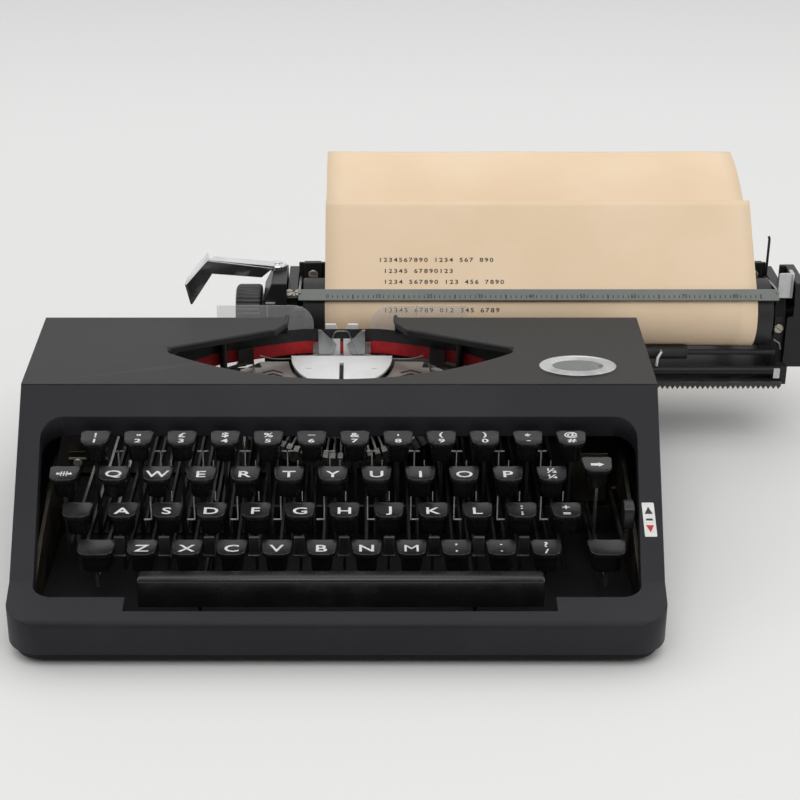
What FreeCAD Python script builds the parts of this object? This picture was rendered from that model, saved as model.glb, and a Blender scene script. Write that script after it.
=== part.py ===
import FreeCAD, Part
import math
import os
from FreeCAD import Vector

# Portable manual typewriter, real size in millimetres.
# X runs to the typist's right, Y away from the typist, Z up.
# The origin lies on the desk, under the middle of the housing's front face.

# Housing
rear_deck_length = 86.0
front_border = 8.75
crease_border = 11.0
rear_widening = 1.6
wall = 2.4
housing_bottom = 6.0
lip_height = 20.6
lip_radius = 3.0
shelf_depth = 28.0
shelf_height = 24.0
crease_behind_well = 15.5
crease_height = 74.0
cover_length = 74.0
cover_height = 77.0
rear_deck_height = 28.0
front_corner_radius = 15.0
rear_corner_radius = 18.0
cover_skirt_height = 9.0
seam_gap = 0.4
overrun = 5.0

# Keyboard well
well_front_depth = 17.7
well_behind_keys = 10.0
well_side_gap = 2.95
well_widening = 6.5
well_corner_radius = 9.0
well_skirt_height = 10.0
well_skirt_wall = 1.8
space_slot_depth = 8.6
space_slot_left_gap = 4.6
space_slot_right_gap = 4.2

# Rear deck opening for the carriage mechanism
deck_opening_inset = 9.5
deck_opening_front_from_cover = -3.5
deck_opening_rear_from_cover = 72.0

# Base pan and feet
pan_inset = 2.7
pan_bottom = 2.2
pan_floor = 1.6
pan_lip_height = 9.0
foot_radius = 8.0
foot_side_inset = 15.5
foot_inset = 26.0

# Ribbon cover opening
opening_tip_x = 83.5
opening_tip_from_crease = 35.0
opening_front_from_crease = 5.0
wing_tip_x = 26.0
wing_tip_from_cover = -8.0
wing_shoulder_x = 31.5
wing_shoulder_from_cover = -17.5
opening_tip_radius = 3.0

# Badge plate
badge_inset = 34.0
badge_from_crease = 17.6
badge_length = 35.3
badge_breadth = 20.8
badge_thickness = 0.8

# Keys
key_pitch = 19.05
key_width = 13.2
key_length = 11.5
key_front_share = 0.93
key_corner_radius = 4.2
key_height = 10.5
key_skirt_width = 9.6
key_skirt_length = 8.6
cap_lip_share = 0.22
key_tilt = 4.0
key_press_angle = 2.4
keys_behind_space_bar = 16.21
row_count = 4
number_row_height = 60.0
row_step = 14.93
row_drop = 9.93
number_row_middle = -2.425
upper_row_middle = -2.45
home_row_middle = 2.75
lower_row_middle = 2.725
number_row_count = 12
upper_row_count = 11
home_row_count = 11
lower_row_count = 10
single_key_index = 5
lever_thickness = 1.2
lever_height = 3.2
lever_front_height = 13.0
stem_length = 3.2
pivot_from_cover = 24.0
pivot_height = 9.0
pivot_rod_radius = 1.5
pivot_eye_radius = 3.0
pivot_clearance = 0.05

# Space bar
space_left_inset = 0.6
space_right_inset = 2.65
space_bar_setback = 2.3
space_length = 9.5
space_top = 29.8
space_face_height = 13.5
space_edge_radius = 1.6
space_drop = 1.0
space_arm_indices = (2, 8)

# Side keys
margin_key_step = 21.5
lock_key_step = 19.5
left_shift_step = 19.5
right_shift_step = 25.85
shift_width = 16.5
backspace_step = 19.5
backspace_rise = 4.5
selector_step = 26.7
selector_ahead = 28.5
selector_height = 43.0
selector_knob_width = 4.6
selector_knob_length = 9.0
selector_knob_height = 11.0
selector_pivot_from_crease = 2.0
selector_pivot_height = 20.0

# Chassis
selector_room = 2.8
chassis_plate = 1.6
chassis_front_depth = 34.0
chassis_rear_inset = 10.0
chassis_front_height = 15.0
chassis_knee_depth = 60.0
chassis_knee_height = 27.0
chassis_rear_height = 21.0
comb_behind_well = 3.5
comb_height = 18.0
comb_thickness = 1.6
comb_slot_margin = 0.5
comb_slot_floor = 1.0

# Type action
print_from_cover = 16.0
print_height = 64.0
bar_length = 50.0
segment_tilt = 30.8
bar_count = 43
fan_half_angle = 62.0
bar_thickness = 0.9
bar_width = 3.4
type_head_length = 7.0
type_head_width = 2.4
type_head_height = 6.0
segment_inner = 5.5
segment_outer = 6.0
segment_thickness = 8.0
segment_end_angle = 4.0
segment_slot_clearance = 0.25
segment_plate_indices = (2, 7)
segment_plate_thickness = 1.6
rest_foot_front_from_cover = -47.0
rest_foot_rear_from_cover = -39.0
rest_foot_top = 36.0
plate_waist_top = 22.0
segment_foot_front_from_cover = -5.0
segment_foot_rear_from_cover = 9.0
segment_foot_top = 40.0
bar_taper_share = 0.7
rest_flare = 25.0
rest_pad_height = 3.0
rest_pad_length = 4.0
rest_pad_share = 0.725
rest_gap = 0.3

# Ribbon, spools and guides
ribbon_from_cover = 9.0
ribbon_low = 53.0
ribbon_width = 13.0
ribbon_thickness = 0.3
spool_inset = 23.5
spool_from_cover = -30.0
spool_radius = 19.0
spool_pin_radius = 2.2
spool_gap = 1.0
guide_post_x = 54.0
guide_post_radius = 1.8
spool_shelf_height = 47.0
spool_shelf_thickness = 1.6
spool_shelf_front_from_cover = -64.0
spool_shelf_rear_from_cover = -3.0
spool_shelf_reach = 26.0
guide_arm_width = 8.0
spool_fill_share = 0.8
guide_foot_low = 40.0
guide_foot_height = 6.0
guide_ear_rise = 2.0
guide_behind = 1.2
vibrator_stand_off = 1.4
vibrator_stem_low = 34.5
shield_slit = 0.6
shield_slit_end = 6.0
shield_from_cover = 6.0
shield_height = 53.0
shield_leg_x = 16.0
shield_leg_front_from_cover = -5.0
shield_leg_top = 51.0
shield_leg_low = 20.0
type_guide_width = 16.0
type_guide_thickness = 1.2
type_guide_gap = 3.0
type_guide_notch = 2.4
vibrator_width = 23.0
vibrator_wire = 1.4
vibrator_lift = 5.5
shield_radius = 25.0
shield_dip = 12.0
shield_thickness = 1.2
holder_width = 48.0
holder_inner_x = 14.0
holder_low = 58.0
holder_high = 76.0
holder_from_platen = -20.8
holder_thickness = 0.8
holder_corner_radius = 10.0

# Carriage
carriage_x = 98.0
carriage_half_width = 137.5
platen_from_cover = 36.0
platen_height = 64.5
platen_radius = 17.0
platen_half_length = 117.5
shaft_radius = 3.5
shaft_clearance = 0.06
knob_radius = 14.0
knob_length = 13.0
knob_gap = 1.0
knob_flutes = 18
knob_flute_depth = 1.0
cover_width = 12.0
cover_front_from_platen = -12.0
cover_rear_from_platen = 16.0
cover_low = 38.6
cover_high = 84.0
cover_chamfer = 9.0
cover_shell = 2.0
end_plate_front_from_platen = -8.0
end_plate_rear_from_platen = 32.0
end_plate_high = 77.0
end_plate_low_gap = 0.3
arm_gap = 0.8
lift_pin_radius = 1.4
lift_pin_height = 8.0
lift_pin_from_platen = 24.0
frame_low = 31.0
frame_high = 36.0
frame_front_from_platen = -21.8
frame_rear_from_platen = 36.0
frame_wall = 2.0
frame_lip = 2.2
rail_from_platen = 14.0
rail_width = 16.0
rail_low = 22.0
rail_high = 30.6
rail_end_inset = 11.5
rail_groove = 2.0
rail_side_gap = 0.6
rack_from_frame = -1.0
rack_height = 33.8
rack_thickness = 2.0
rack_pitch = 2.54
rack_tooth = 1.9
rack_bar_height = 2.2
rack_teeth = 98
front_tube_from_frame = 2.6
front_tube_height = 40.2
front_tube_radius = 2.4
ear_height = 43.5
ear_width = 3.0
roller_radius = 3.4
roller_gap = 0.3
roller_shaft_radius = 1.4
roller_length = 60.0
roller_spacing = 92.0
roller_count = 2
front_roller_angle = 232.0
rear_roller_angle = 308.0
table_top_from_platen = 23.5
table_top_height = 82.0
table_low_from_platen = 21.5
table_low_height = 44.0
table_thickness = 1.6
bail_angle = 132.7
bail_gap = 1.5
bail_bar_height = 6.2
bail_bar_thickness = 1.0
bail_arm_thickness = 1.4
bail_arm_width = 6.0
bail_pivot_from_platen = 17.0
bail_pivot_height = 74.0
bail_pivot_radius = 1.6
return_pivot_x = -33.0
return_pivot_from_platen = 10.0
return_hub_radius = 5.0
return_hub_height = 3.0
return_elbow_x = -66.0
return_elbow_from_platen = -4.0
return_elbow_height = 92.0
return_tip_x = -75.5
return_tip_from_platen = -27.0
return_tip_height = 85.5
return_thickness = 1.6
return_arm_width = 7.0
paddle_height = 12.0
release_thickness = 1.8
release_slot = 2.6
release_x = 225.0
release_pivot_from_platen = 8.0
release_pivot_height = 72.0
release_tip_from_platen = -5.4
release_tip_height = 88.0
release_tab_width = 6.0
release_tab_height = 13.0
release_width = 6.0
paper_width = 215.9
paper_thickness = 0.25
paper_clearance = 0.35
paper_left_x = -8.5
paper_head_angle = 135.0
paper_head_length = 54.0
paper_tail_rise = 14.0
paper_tail_radius = 30.0
paper_tail_bend = 50.0
paper_end_radius = 95.0
paper_end_bend = 36.0
margin_rail_inset = 2.0
margin_rail_height = 41.0
margin_rail_size = 2.4
margin_stop_gap = 0.3
margin_stop_wall = 1.8
margin_stop_inset = 20.0
margin_stop_width = 9.0
drum_x = -90.0
drum_radius = 11.0
drum_length = 9.0
drum_hub_radius = 2.5
drum_floor_gap = 0.6
mesh_clearance = 0.5
wheel_radius = 8.5
wheel_root_share = 0.84
wheel_thickness = 1.6
wheel_teeth = 20
pinion_teeth = 20
escapement_index = -2
escapement_shaft_radius = 1.5
escapement_front_from_rack = -10.2
escapement_plate = 1.6
escapement_plate_width = 15.0
escapement_plate_low = 15.0
rear_frame_front_from_rail = -14.0
rear_frame_rear_from_rail = 12.0
rear_frame_plate = 1.6
universal_bar_from_cover = -25.0
universal_bar_height = 0.6
universal_bar_width = 5.0
universal_drop = 0.4

# Places across that follow from the key pitch
number_row_first_x = number_row_middle - (number_row_count - 1) * key_pitch / 2
upper_row_first_x = upper_row_middle - (upper_row_count - 1) * key_pitch / 2
home_row_first_x = home_row_middle - (home_row_count - 1) * key_pitch / 2
lower_row_first_x = lower_row_middle - (lower_row_count - 1) * key_pitch / 2
margin_key_x = upper_row_first_x - margin_key_step
lock_key_x = home_row_first_x - lock_key_step
left_shift_x = lower_row_first_x - left_shift_step
lower_row_last_x = lower_row_first_x + (lower_row_count - 1) * key_pitch
right_shift_x = lower_row_last_x + right_shift_step
backspace_x = upper_row_first_x + (upper_row_count - 1) * key_pitch + backspace_step
selector_x = home_row_first_x + (home_row_count - 1) * key_pitch + selector_step
space_left = lower_row_first_x + space_left_inset
space_right = lower_row_last_x - space_right_inset
space_slot_left = space_left - space_slot_left_gap
space_slot_right = space_right + space_slot_right_gap
well_front_half_width = right_shift_x + shift_width / 2 + well_side_gap
well_rear_half_width = well_front_half_width + well_widening
front_width = 2 * (well_front_half_width + front_border)
crease_width = 2 * (well_rear_half_width + crease_border)
rear_width = crease_width + rear_widening
chassis_half_width = selector_x + selector_room
spool_x = chassis_half_width - spool_inset
spool_shelf_inner = spool_x - spool_shelf_reach
deck_opening_half_width = chassis_half_width - deck_opening_inset
foot_side = chassis_half_width - foot_side_inset
rail_half_length = chassis_half_width - rail_end_inset
badge_x = crease_width / 2 - badge_inset

# Depths that follow from the keyboard, front to back
space_front_depth = well_front_depth + space_bar_setback
lower_row_depth = space_front_depth + space_length + keys_behind_space_bar
number_row_depth = lower_row_depth + (row_count - 1) * row_step
selector_depth = number_row_depth - selector_ahead
well_rear_depth = number_row_depth + well_behind_keys
comb_depth = well_rear_depth + comb_behind_well
crease_depth = well_rear_depth + crease_behind_well
cover_depth = crease_depth + cover_length
body_depth = cover_depth + rear_deck_length
chassis_rear_depth = body_depth - chassis_rear_inset
selector_pivot_depth = crease_depth + selector_pivot_from_crease
opening_front_depth = crease_depth + opening_front_from_crease
opening_tip_depth = crease_depth + opening_tip_from_crease
badge_depth = crease_depth + badge_from_crease
wing_tip_depth = cover_depth + wing_tip_from_cover
wing_shoulder_depth = cover_depth + wing_shoulder_from_cover
deck_opening_front = cover_depth + deck_opening_front_from_cover
deck_opening_rear = cover_depth + deck_opening_rear_from_cover
pivot_depth = cover_depth + pivot_from_cover
print_depth = cover_depth + print_from_cover
rest_foot_front = cover_depth + rest_foot_front_from_cover
rest_foot_rear = cover_depth + rest_foot_rear_from_cover
segment_foot_front = cover_depth + segment_foot_front_from_cover
segment_foot_rear = cover_depth + segment_foot_rear_from_cover
universal_bar_depth = cover_depth + universal_bar_from_cover
ribbon_depth = cover_depth + ribbon_from_cover
spool_depth = cover_depth + spool_from_cover
spool_shelf_front = cover_depth + spool_shelf_front_from_cover
spool_shelf_rear = cover_depth + spool_shelf_rear_from_cover
shield_depth = cover_depth + shield_from_cover
shield_leg_front = cover_depth + shield_leg_front_from_cover
platen_depth = cover_depth + platen_from_cover
holder_depth = platen_depth + holder_from_platen
cover_front_depth = platen_depth + cover_front_from_platen
cover_rear_depth = platen_depth + cover_rear_from_platen
end_plate_front = platen_depth + end_plate_front_from_platen
end_plate_rear = platen_depth + end_plate_rear_from_platen
lift_pin_depth = platen_depth + lift_pin_from_platen
rail_depth = platen_depth + rail_from_platen
frame_front_depth = platen_depth + frame_front_from_platen
frame_rear_depth = platen_depth + frame_rear_from_platen
table_top_depth = platen_depth + table_top_from_platen
table_low_depth = platen_depth + table_low_from_platen
bail_pivot_depth = platen_depth + bail_pivot_from_platen
return_pivot_depth = platen_depth + return_pivot_from_platen
return_elbow_depth = platen_depth + return_elbow_from_platen
return_tip_depth = platen_depth + return_tip_from_platen
release_pivot_depth = platen_depth + release_pivot_from_platen
release_tip_depth = platen_depth + release_tip_from_platen
rack_depth = frame_front_depth + rack_from_frame
front_tube_depth = frame_front_depth + front_tube_from_frame
escapement_front = rack_depth + escapement_front_from_rack
rear_frame_front = rail_depth + rear_frame_front_from_rail
rear_frame_rear = rail_depth + rear_frame_rear_from_rail
margin_rail_depth = frame_rear_depth - margin_rail_inset

parts = {}


def box(x0, x1, y0, y1, z0, z1):
    return Part.makeBox(x1 - x0, y1 - y0, z1 - z0, Vector(x0, y0, z0))


def rod_x(x0, x1, y, z, radius):
    return Part.makeCylinder(radius, x1 - x0, Vector(x0, y, z), Vector(1, 0, 0))


def rod_z(x, y, z0, z1, radius):
    return Part.makeCylinder(radius, z1 - z0, Vector(x, y, z0), Vector(0, 0, 1))


def side_plate(points, x0, x1):
    """An outline of (y, z) points, extruded along X."""
    wire = Part.makePolygon([Vector(x0, y, z) for y, z in points + points[:1]])
    return Part.Face(wire).extrude(Vector(x1 - x0, 0, 0))


def plan_plate(points, z0, z1):
    wire = Part.makePolygon([Vector(x, y, z0) for x, y in points + points[:1]])
    return Part.Face(wire).extrude(Vector(0, 0, z1 - z0))


def front_plate(points, y0, y1):
    wire = Part.makePolygon([Vector(x, y0, z) for x, z in points + points[:1]])
    return Part.Face(wire).extrude(Vector(0, y1 - y0, 0))


def upright_edges(shape, radius, test):
    edges = []
    for edge in shape.Edges:
        ends = [vertex.Point for vertex in edge.Vertexes]
        if len(ends) == 2 and abs(ends[0].x - ends[1].x) + abs(ends[0].y - ends[1].y) < radius / 1000:
            if test(ends[0]):
                edges.append(edge)
    return shape.makeFillet(radius, edges)


def fused(shapes):
    return shapes[0].multiFuse(shapes[1:]).removeSplitter() if len(shapes) > 1 else shapes[0]


def group(shapes):
    return Part.makeCompound(shapes)


def top_at(depth):
    """Height of the housing's outer top at a depth behind its front face."""
    if depth <= shelf_depth:
        return lip_height + (shelf_height - lip_height) * depth / shelf_depth
    if depth <= crease_depth:
        share = (depth - shelf_depth) / (crease_depth - shelf_depth)
        return shelf_height + (crease_height - shelf_height) * share
    return crease_height + (cover_height - crease_height) * (depth - crease_depth) / (cover_depth - crease_depth)


def half_width_at(depth):
    if depth <= crease_depth:
        return (front_width + (crease_width - front_width) * depth / crease_depth) / 2
    return (crease_width + (rear_width - crease_width) * (depth - crease_depth) / (body_depth - crease_depth)) / 2


def plan_prism(inset, low, high):
    """The housing's plan outline, drawn in by the inset, with rounded corners."""
    half = [half_width_at(depth) - inset for depth in (0, crease_depth, body_depth)]
    points = [(-half[0], inset), (half[0], inset), (half[1], crease_depth), (half[2], body_depth - inset),
              (-half[2], body_depth - inset), (-half[1], crease_depth)]
    prism = plan_plate(points, low, high)
    prism = upright_edges(prism, front_corner_radius - inset, lambda p: p.y < shelf_depth)
    return upright_edges(prism, rear_corner_radius - inset, lambda p: p.y > cover_depth)


def profile_prism(inset, drop, low):
    reach = rear_width
    points = [(inset, low), (inset, lip_height - drop), (shelf_depth, shelf_height - drop),
              (crease_depth, crease_height - drop), (cover_depth - inset, cover_height - drop),
              (cover_depth - inset, rear_deck_height - drop), (body_depth - inset, rear_deck_height - drop),
              (body_depth - inset, low)]
    prism = side_plate(points, -reach, reach)
    if inset == 0:
        lip = [e for e in prism.Edges if e.Length > reach and abs(e.CenterOfMass.y) < wall
               and abs(e.CenterOfMass.z - lip_height) < wall]
        rear = [e for e in prism.Edges if e.Length > reach and abs(e.CenterOfMass.y - cover_depth) < wall
                and abs(e.CenterOfMass.z - cover_height) < wall]
        prism = prism.makeFillet(lip_radius, lip + rear)
    return prism


def envelope(inset, drop, low):
    return plan_prism(inset, low, cover_height + overrun).common(profile_prism(inset, drop, low))


def well_points(grow):
    front, rear = well_front_half_width + grow, well_rear_half_width + grow
    return [(-front, well_front_depth - grow), (front, well_front_depth - grow),
            (rear, well_rear_depth + grow), (-rear, well_rear_depth + grow)]


def well_prism(grow):
    prism = plan_plate(well_points(grow), -overrun, cover_height + overrun)
    prism = upright_edges(prism, well_corner_radius + grow, lambda p: True)
    slot = box(space_slot_left - grow, space_slot_right + grow, space_slot_depth - grow,
               well_front_depth + overrun, -overrun, cover_height + overrun)
    return prism.fuse(slot).removeSplitter()


def opening_prism():
    """The wing-shaped type opening in the ribbon cover, open at its rear."""
    low, high = housing_bottom, cover_height + overrun
    front = Part.Arc(Vector(opening_tip_x, opening_tip_depth, low), Vector(0, opening_front_depth, low),
                     Vector(-opening_tip_x, opening_tip_depth, low)).toShape()
    corners = [(-opening_tip_x, opening_tip_depth), (-wing_shoulder_x, wing_shoulder_depth),
               (-wing_tip_x, wing_tip_depth), (-wing_tip_x, cover_depth + overrun),
               (wing_tip_x, cover_depth + overrun), (wing_tip_x, wing_tip_depth),
               (wing_shoulder_x, wing_shoulder_depth), (opening_tip_x, opening_tip_depth)]
    lines = [Part.makeLine(Vector(a[0], a[1], low), Vector(b[0], b[1], low))
             for a, b in zip(corners, corners[1:])]
    prism = Part.Face(Part.Wire([front] + lines)).extrude(Vector(0, 0, high - low))
    prism = upright_edges(prism, opening_tip_radius, lambda p: abs(p.x) > wing_shoulder_x + opening_tip_radius)
    return prism


def make_shells():
    slope = math.hypot(crease_depth - shelf_depth, crease_height - shelf_height) / (crease_depth - shelf_depth)
    outer = envelope(0, 0, housing_bottom)
    inner = envelope(wall, wall * slope, housing_bottom - overrun)
    shell = outer.cut(inner)
    skirt_line = cover_height - cover_skirt_height
    cap = box(-rear_width, rear_width, crease_depth, cover_depth + overrun, skirt_line, cover_height + overrun)
    gap = box(-rear_width, rear_width, crease_depth - seam_gap, cover_depth + overrun,
              skirt_line - seam_gap, cover_height + overrun)
    cover = shell.common(cap)
    cover = cover.cut(opening_prism())
    rear_open = box(-half_width_at(cover_depth) + wall * 2, half_width_at(cover_depth) - wall * 2,
                    cover_depth - wall - overrun, cover_depth + overrun, rear_deck_height, skirt_line)
    housing = shell.cut(gap).cut(rear_open)
    skirt = well_prism(well_skirt_wall).cut(well_prism(0)).common(outer)
    lowered = outer.translated(Vector(0, 0, -well_skirt_height))
    skirt = skirt.cut(lowered)
    housing = housing.cut(well_prism(0)).fuse(skirt)
    deck = box(-deck_opening_half_width, deck_opening_half_width, deck_opening_front, deck_opening_rear,
               rear_deck_height - wall * 2, rear_deck_height + overrun)
    housing = housing.cut(deck).removeSplitter()
    parts["front_housing"] = housing
    parts["ribbon_cover"] = cover
    return inner


def make_badge():
    height = top_at(badge_depth)
    plate = Part.Face(Part.Wire([Part.Ellipse(Vector(0, 0, 0), badge_length / 2, badge_breadth / 2).toShape()]))
    plate = plate.extrude(Vector(0, 0, badge_thickness))
    tilt = math.degrees(math.atan2(cover_height - crease_height, cover_depth - crease_depth))
    plate.Placement = FreeCAD.Placement(Vector(badge_x, badge_depth, height), FreeCAD.Rotation(Vector(1, 0, 0), tilt))
    parts["badge_plate"] = plate


def pan_top():
    return pan_bottom + pan_floor


def make_base():
    solid = plan_prism(pan_inset, pan_bottom, pan_lip_height)
    hollow = plan_prism(pan_inset + pan_floor, pan_top(), pan_lip_height + overrun)
    parts["base_pan"] = solid.cut(hollow)
    feet = []
    for side in (-1, 1):
        for depth in (foot_inset, body_depth - foot_inset):
            feet.append(rod_z(side * foot_side, depth, 0, pan_bottom, foot_radius))
    parts["rubber_feet"] = group(feet)


def cap_wire(width, length, corner, height):
    """The D-shaped outline of a key top: straight back, sides drawn in, blunt front corners."""
    half, back, front = width / 2, length / 2, -length / 2
    side = half * key_front_share
    middle = corner * (1 - math.sqrt(0.5))
    points = [(half, back), (side, front + corner), (side - middle, front + middle), (side - corner, front)]
    points += [(-x, y) for x, y in reversed(points)]
    corners = [Vector(x, y, height) for x, y in points]
    return Part.makePolygon(corners + corners[:1])


def key_cap(x, depth, height, width=key_width):
    """A key cap with its top centre at the given place, its skirt drawn in below."""
    lip = key_height * cap_lip_share
    spare = width - key_width
    top = cap_wire(width, key_length, key_corner_radius, 0)
    edge = cap_wire(width, key_length, key_corner_radius, -lip)
    half, back = (key_skirt_width + spare) / 2, key_skirt_length / 2
    near = half * key_front_share
    corners = [Vector(-near, -back, -key_height), Vector(near, -back, -key_height),
               Vector(half, back, -key_height), Vector(-half, back, -key_height)]
    skirt = Part.Face(Part.makePolygon(corners + corners[:1])).extrude(Vector(0, 0, key_height - lip))
    cap = Part.makeLoft([edge, top], True, True).fuse(skirt).removeSplitter()
    cap.Placement = FreeCAD.Placement(Vector(x, depth, height), FreeCAD.Rotation(Vector(1, 0, 0), key_tilt))
    return cap


def lever_line(depth):
    """Height of a key lever's middle line at a depth, between its front and its pivot."""
    front = lower_row_depth
    share = (pivot_depth - depth) / (pivot_depth - front)
    return pivot_height + (lever_front_height - pivot_height) * share


def pivot_fork():
    """The open fork at a lever's rear end, which sits astride the pivot rod."""
    near, reach = pivot_rod_radius + pivot_clearance, pivot_eye_radius
    return [(pivot_depth - reach, pivot_height - reach), (pivot_depth + reach, pivot_height - reach),
            (pivot_depth + reach, pivot_height - near), (pivot_depth - near, pivot_height - near),
            (pivot_depth - near, pivot_height + near), (pivot_depth + reach, pivot_height + near),
            (pivot_depth + reach, pivot_height + reach), (pivot_depth - reach, pivot_height + reach)]


def key_lever(x, depth, height):
    """A thin plate lever with an upright stem under its key cap."""
    half, low = lever_thickness / 2, lever_height / 2
    foot = height - key_height
    points = [(depth - stem_length / 2, foot), (depth - stem_length / 2, lever_line(depth) - low)]
    points += pivot_fork() + [(depth + stem_length / 2, lever_line(depth) + low), (depth + stem_length / 2, foot)]
    return side_plate(points, x - half, x + half)


def key_place(row):
    return number_row_depth - row * row_step, number_row_height - row * row_drop


def key_rows():
    return [("number_row", number_row_first_x, number_row_count), ("upper_row", upper_row_first_x, upper_row_count),
            ("home_row", home_row_first_x, home_row_count), ("lower_row", lower_row_first_x, lower_row_count)]


def one_key(x, depth, height, width=key_width):
    cap = key_cap(x, depth, height, width)
    lever = key_lever(x, depth, height).cut(cap)
    return cap, lever


def make_keys():
    for row, (name, first, count) in enumerate(key_rows()):
        depth, height = key_place(row)
        caps, levers = [], []
        for index in range(count):
            cap, lever = one_key(first + index * key_pitch, depth, height)
            if name == "home_row" and index == single_key_index:
                parts["h_key_cap"], parts["h_key_lever"] = cap, lever
            else:
                caps.append(cap)
                levers.append(lever)
        parts[name + "_caps"] = group(caps)
        parts[name + "_levers"] = group(levers)
    reach = chassis_half_width
    parts["key_pivot_rod"] = rod_x(-reach, reach, pivot_depth, pivot_height, pivot_rod_radius)


def make_side_keys():
    home_depth, home_height = key_place(2)
    upper_depth, upper_height = key_place(1)
    lower_depth, lower_height = key_place(3)
    shifts = []
    for x in (left_shift_x, right_shift_x):
        cap, lever = one_key(x, lower_depth, lower_height, shift_width)
        shifts += [cap, lever]
    parts["shift_keys"] = group([fused(shifts[:2]), fused(shifts[2:])])
    cap, lever = one_key(lock_key_x, home_depth, home_height)
    parts["shift_lock_key"] = fused([cap, lever])
    cap, lever = one_key(margin_key_x, upper_depth, upper_height)
    parts["margin_release_key"] = fused([cap, lever])
    cap, lever = one_key(backspace_x, upper_depth, upper_height + backspace_rise)
    parts["backspace_key"] = fused([cap, lever])
    half = selector_knob_width / 2
    knob = box(selector_x - half, selector_x + half, selector_depth - selector_knob_length / 2,
               selector_depth + selector_knob_length / 2, selector_height - selector_knob_height, selector_height)
    strip = side_plate([(selector_depth - stem_length / 2, selector_height - selector_knob_height),
                        (selector_depth - stem_length / 2, selector_pivot_height),
                        (selector_depth, selector_pivot_height - lever_height),
                        (selector_pivot_depth, selector_pivot_height - lever_height / 2),
                        (selector_pivot_depth, selector_pivot_height + lever_height / 2),
                        (selector_depth + stem_length / 2, selector_pivot_height),
                        (selector_depth + stem_length / 2, selector_height - selector_knob_height)],
                       selector_x - lever_thickness / 2, selector_x + lever_thickness / 2)
    eye = rod_x(selector_x - lever_thickness / 2, selector_x + lever_thickness / 2, selector_pivot_depth,
                selector_pivot_height, pivot_eye_radius)
    pin_hole = rod_x(selector_x - overrun, selector_x + overrun, selector_pivot_depth, selector_pivot_height,
                     pivot_rod_radius + pivot_clearance)
    parts["ribbon_selector"] = fused([knob, strip, eye]).cut(pin_hole)


def make_space_bar():
    profile = [(space_front_depth, space_top - space_face_height), (space_front_depth, space_top),
               (space_front_depth + space_length, space_top - space_drop),
               (space_front_depth + space_length, space_top - space_face_height)]
    bar = side_plate(profile, space_left, space_right)
    edges = [e for e in bar.Edges if e.Length > key_pitch and e.CenterOfMass.z > space_top - space_face_height / 2]
    bar = bar.makeFillet(space_edge_radius, edges)
    arms = []
    depth = space_front_depth + space_length / 2
    low = lever_height / 2
    for index in space_arm_indices:
        x = (upper_row_first_x + home_row_first_x) / 2 + index * key_pitch
        half = lever_thickness / 2
        foot = space_top - space_face_height
        points = [(depth - stem_length / 2, foot), (depth - stem_length / 2, lever_line(depth) - low)]
        points += pivot_fork() + [(depth + stem_length / 2, lever_line(depth) + low),
                                  (depth + stem_length / 2, foot)]
        arms.append(side_plate(points, x - half, x + half))
    parts["space_bar"] = bar
    parts["space_bar_arms"] = group(arms)


def print_point():
    return Vector(0, print_depth, print_height)


def segment_axes():
    """Unit vectors from the print point down to the middle pivot, and forward along the bars."""
    tilt = math.radians(segment_tilt)
    down = Vector(0, -math.sin(tilt), -math.cos(tilt))
    forward = Vector(0, -math.cos(tilt), math.sin(tilt))
    return down, forward


def segment_point(radial, along):
    down, forward = segment_axes()
    return print_point() + down * radial + forward * along


def segment_outline(corners):
    """A face in the machine's middle plane from (radial, along) corners."""
    points = [segment_point(radial, along) for radial, along in corners]
    return Part.Face(Part.makePolygon(points + points[:1]))


def swept(face, half_angle):
    _, forward = segment_axes()
    start = face.copy()
    start.rotate(print_point(), forward, -half_angle)
    return start.revolve(print_point(), forward, 2 * half_angle)


def fan_angles():
    step = 2 * fan_half_angle / (bar_count - 1)
    return [index * step - fan_half_angle for index in range(bar_count)]


def fanned(shape, angle):
    _, forward = segment_axes()
    turned = shape.copy()
    turned.rotate(print_point(), forward, angle)
    return turned


def extrude_thin(face, thickness):
    return face.translated(Vector(-thickness / 2, 0, 0)).extrude(Vector(thickness, 0, 0))


def middle_type_bar():
    """The middle type bar at rest, its pivot eye in the segment and its type head in front."""
    flare = math.radians(rest_flare)
    half = bar_width / 2

    def place(along, across):
        return (bar_length + along * math.sin(flare) - across * math.cos(flare),
                along * math.cos(flare) + across * math.sin(flare))

    head_back = bar_length - type_head_length / 2
    head_front = bar_length + type_head_length / 2
    shank = segment_outline([place(0, -half), place(head_back, -half * bar_taper_share),
                             place(head_back, half * bar_taper_share), place(0, half), place(-half, 0)])
    head = segment_outline([place(head_back, -half * bar_taper_share), place(head_front, -half * bar_taper_share),
                            place(head_front, type_head_height - half), place(head_back, type_head_height - half)])
    return fused([extrude_thin(shank, bar_thickness), extrude_thin(head, type_head_width)])


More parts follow.
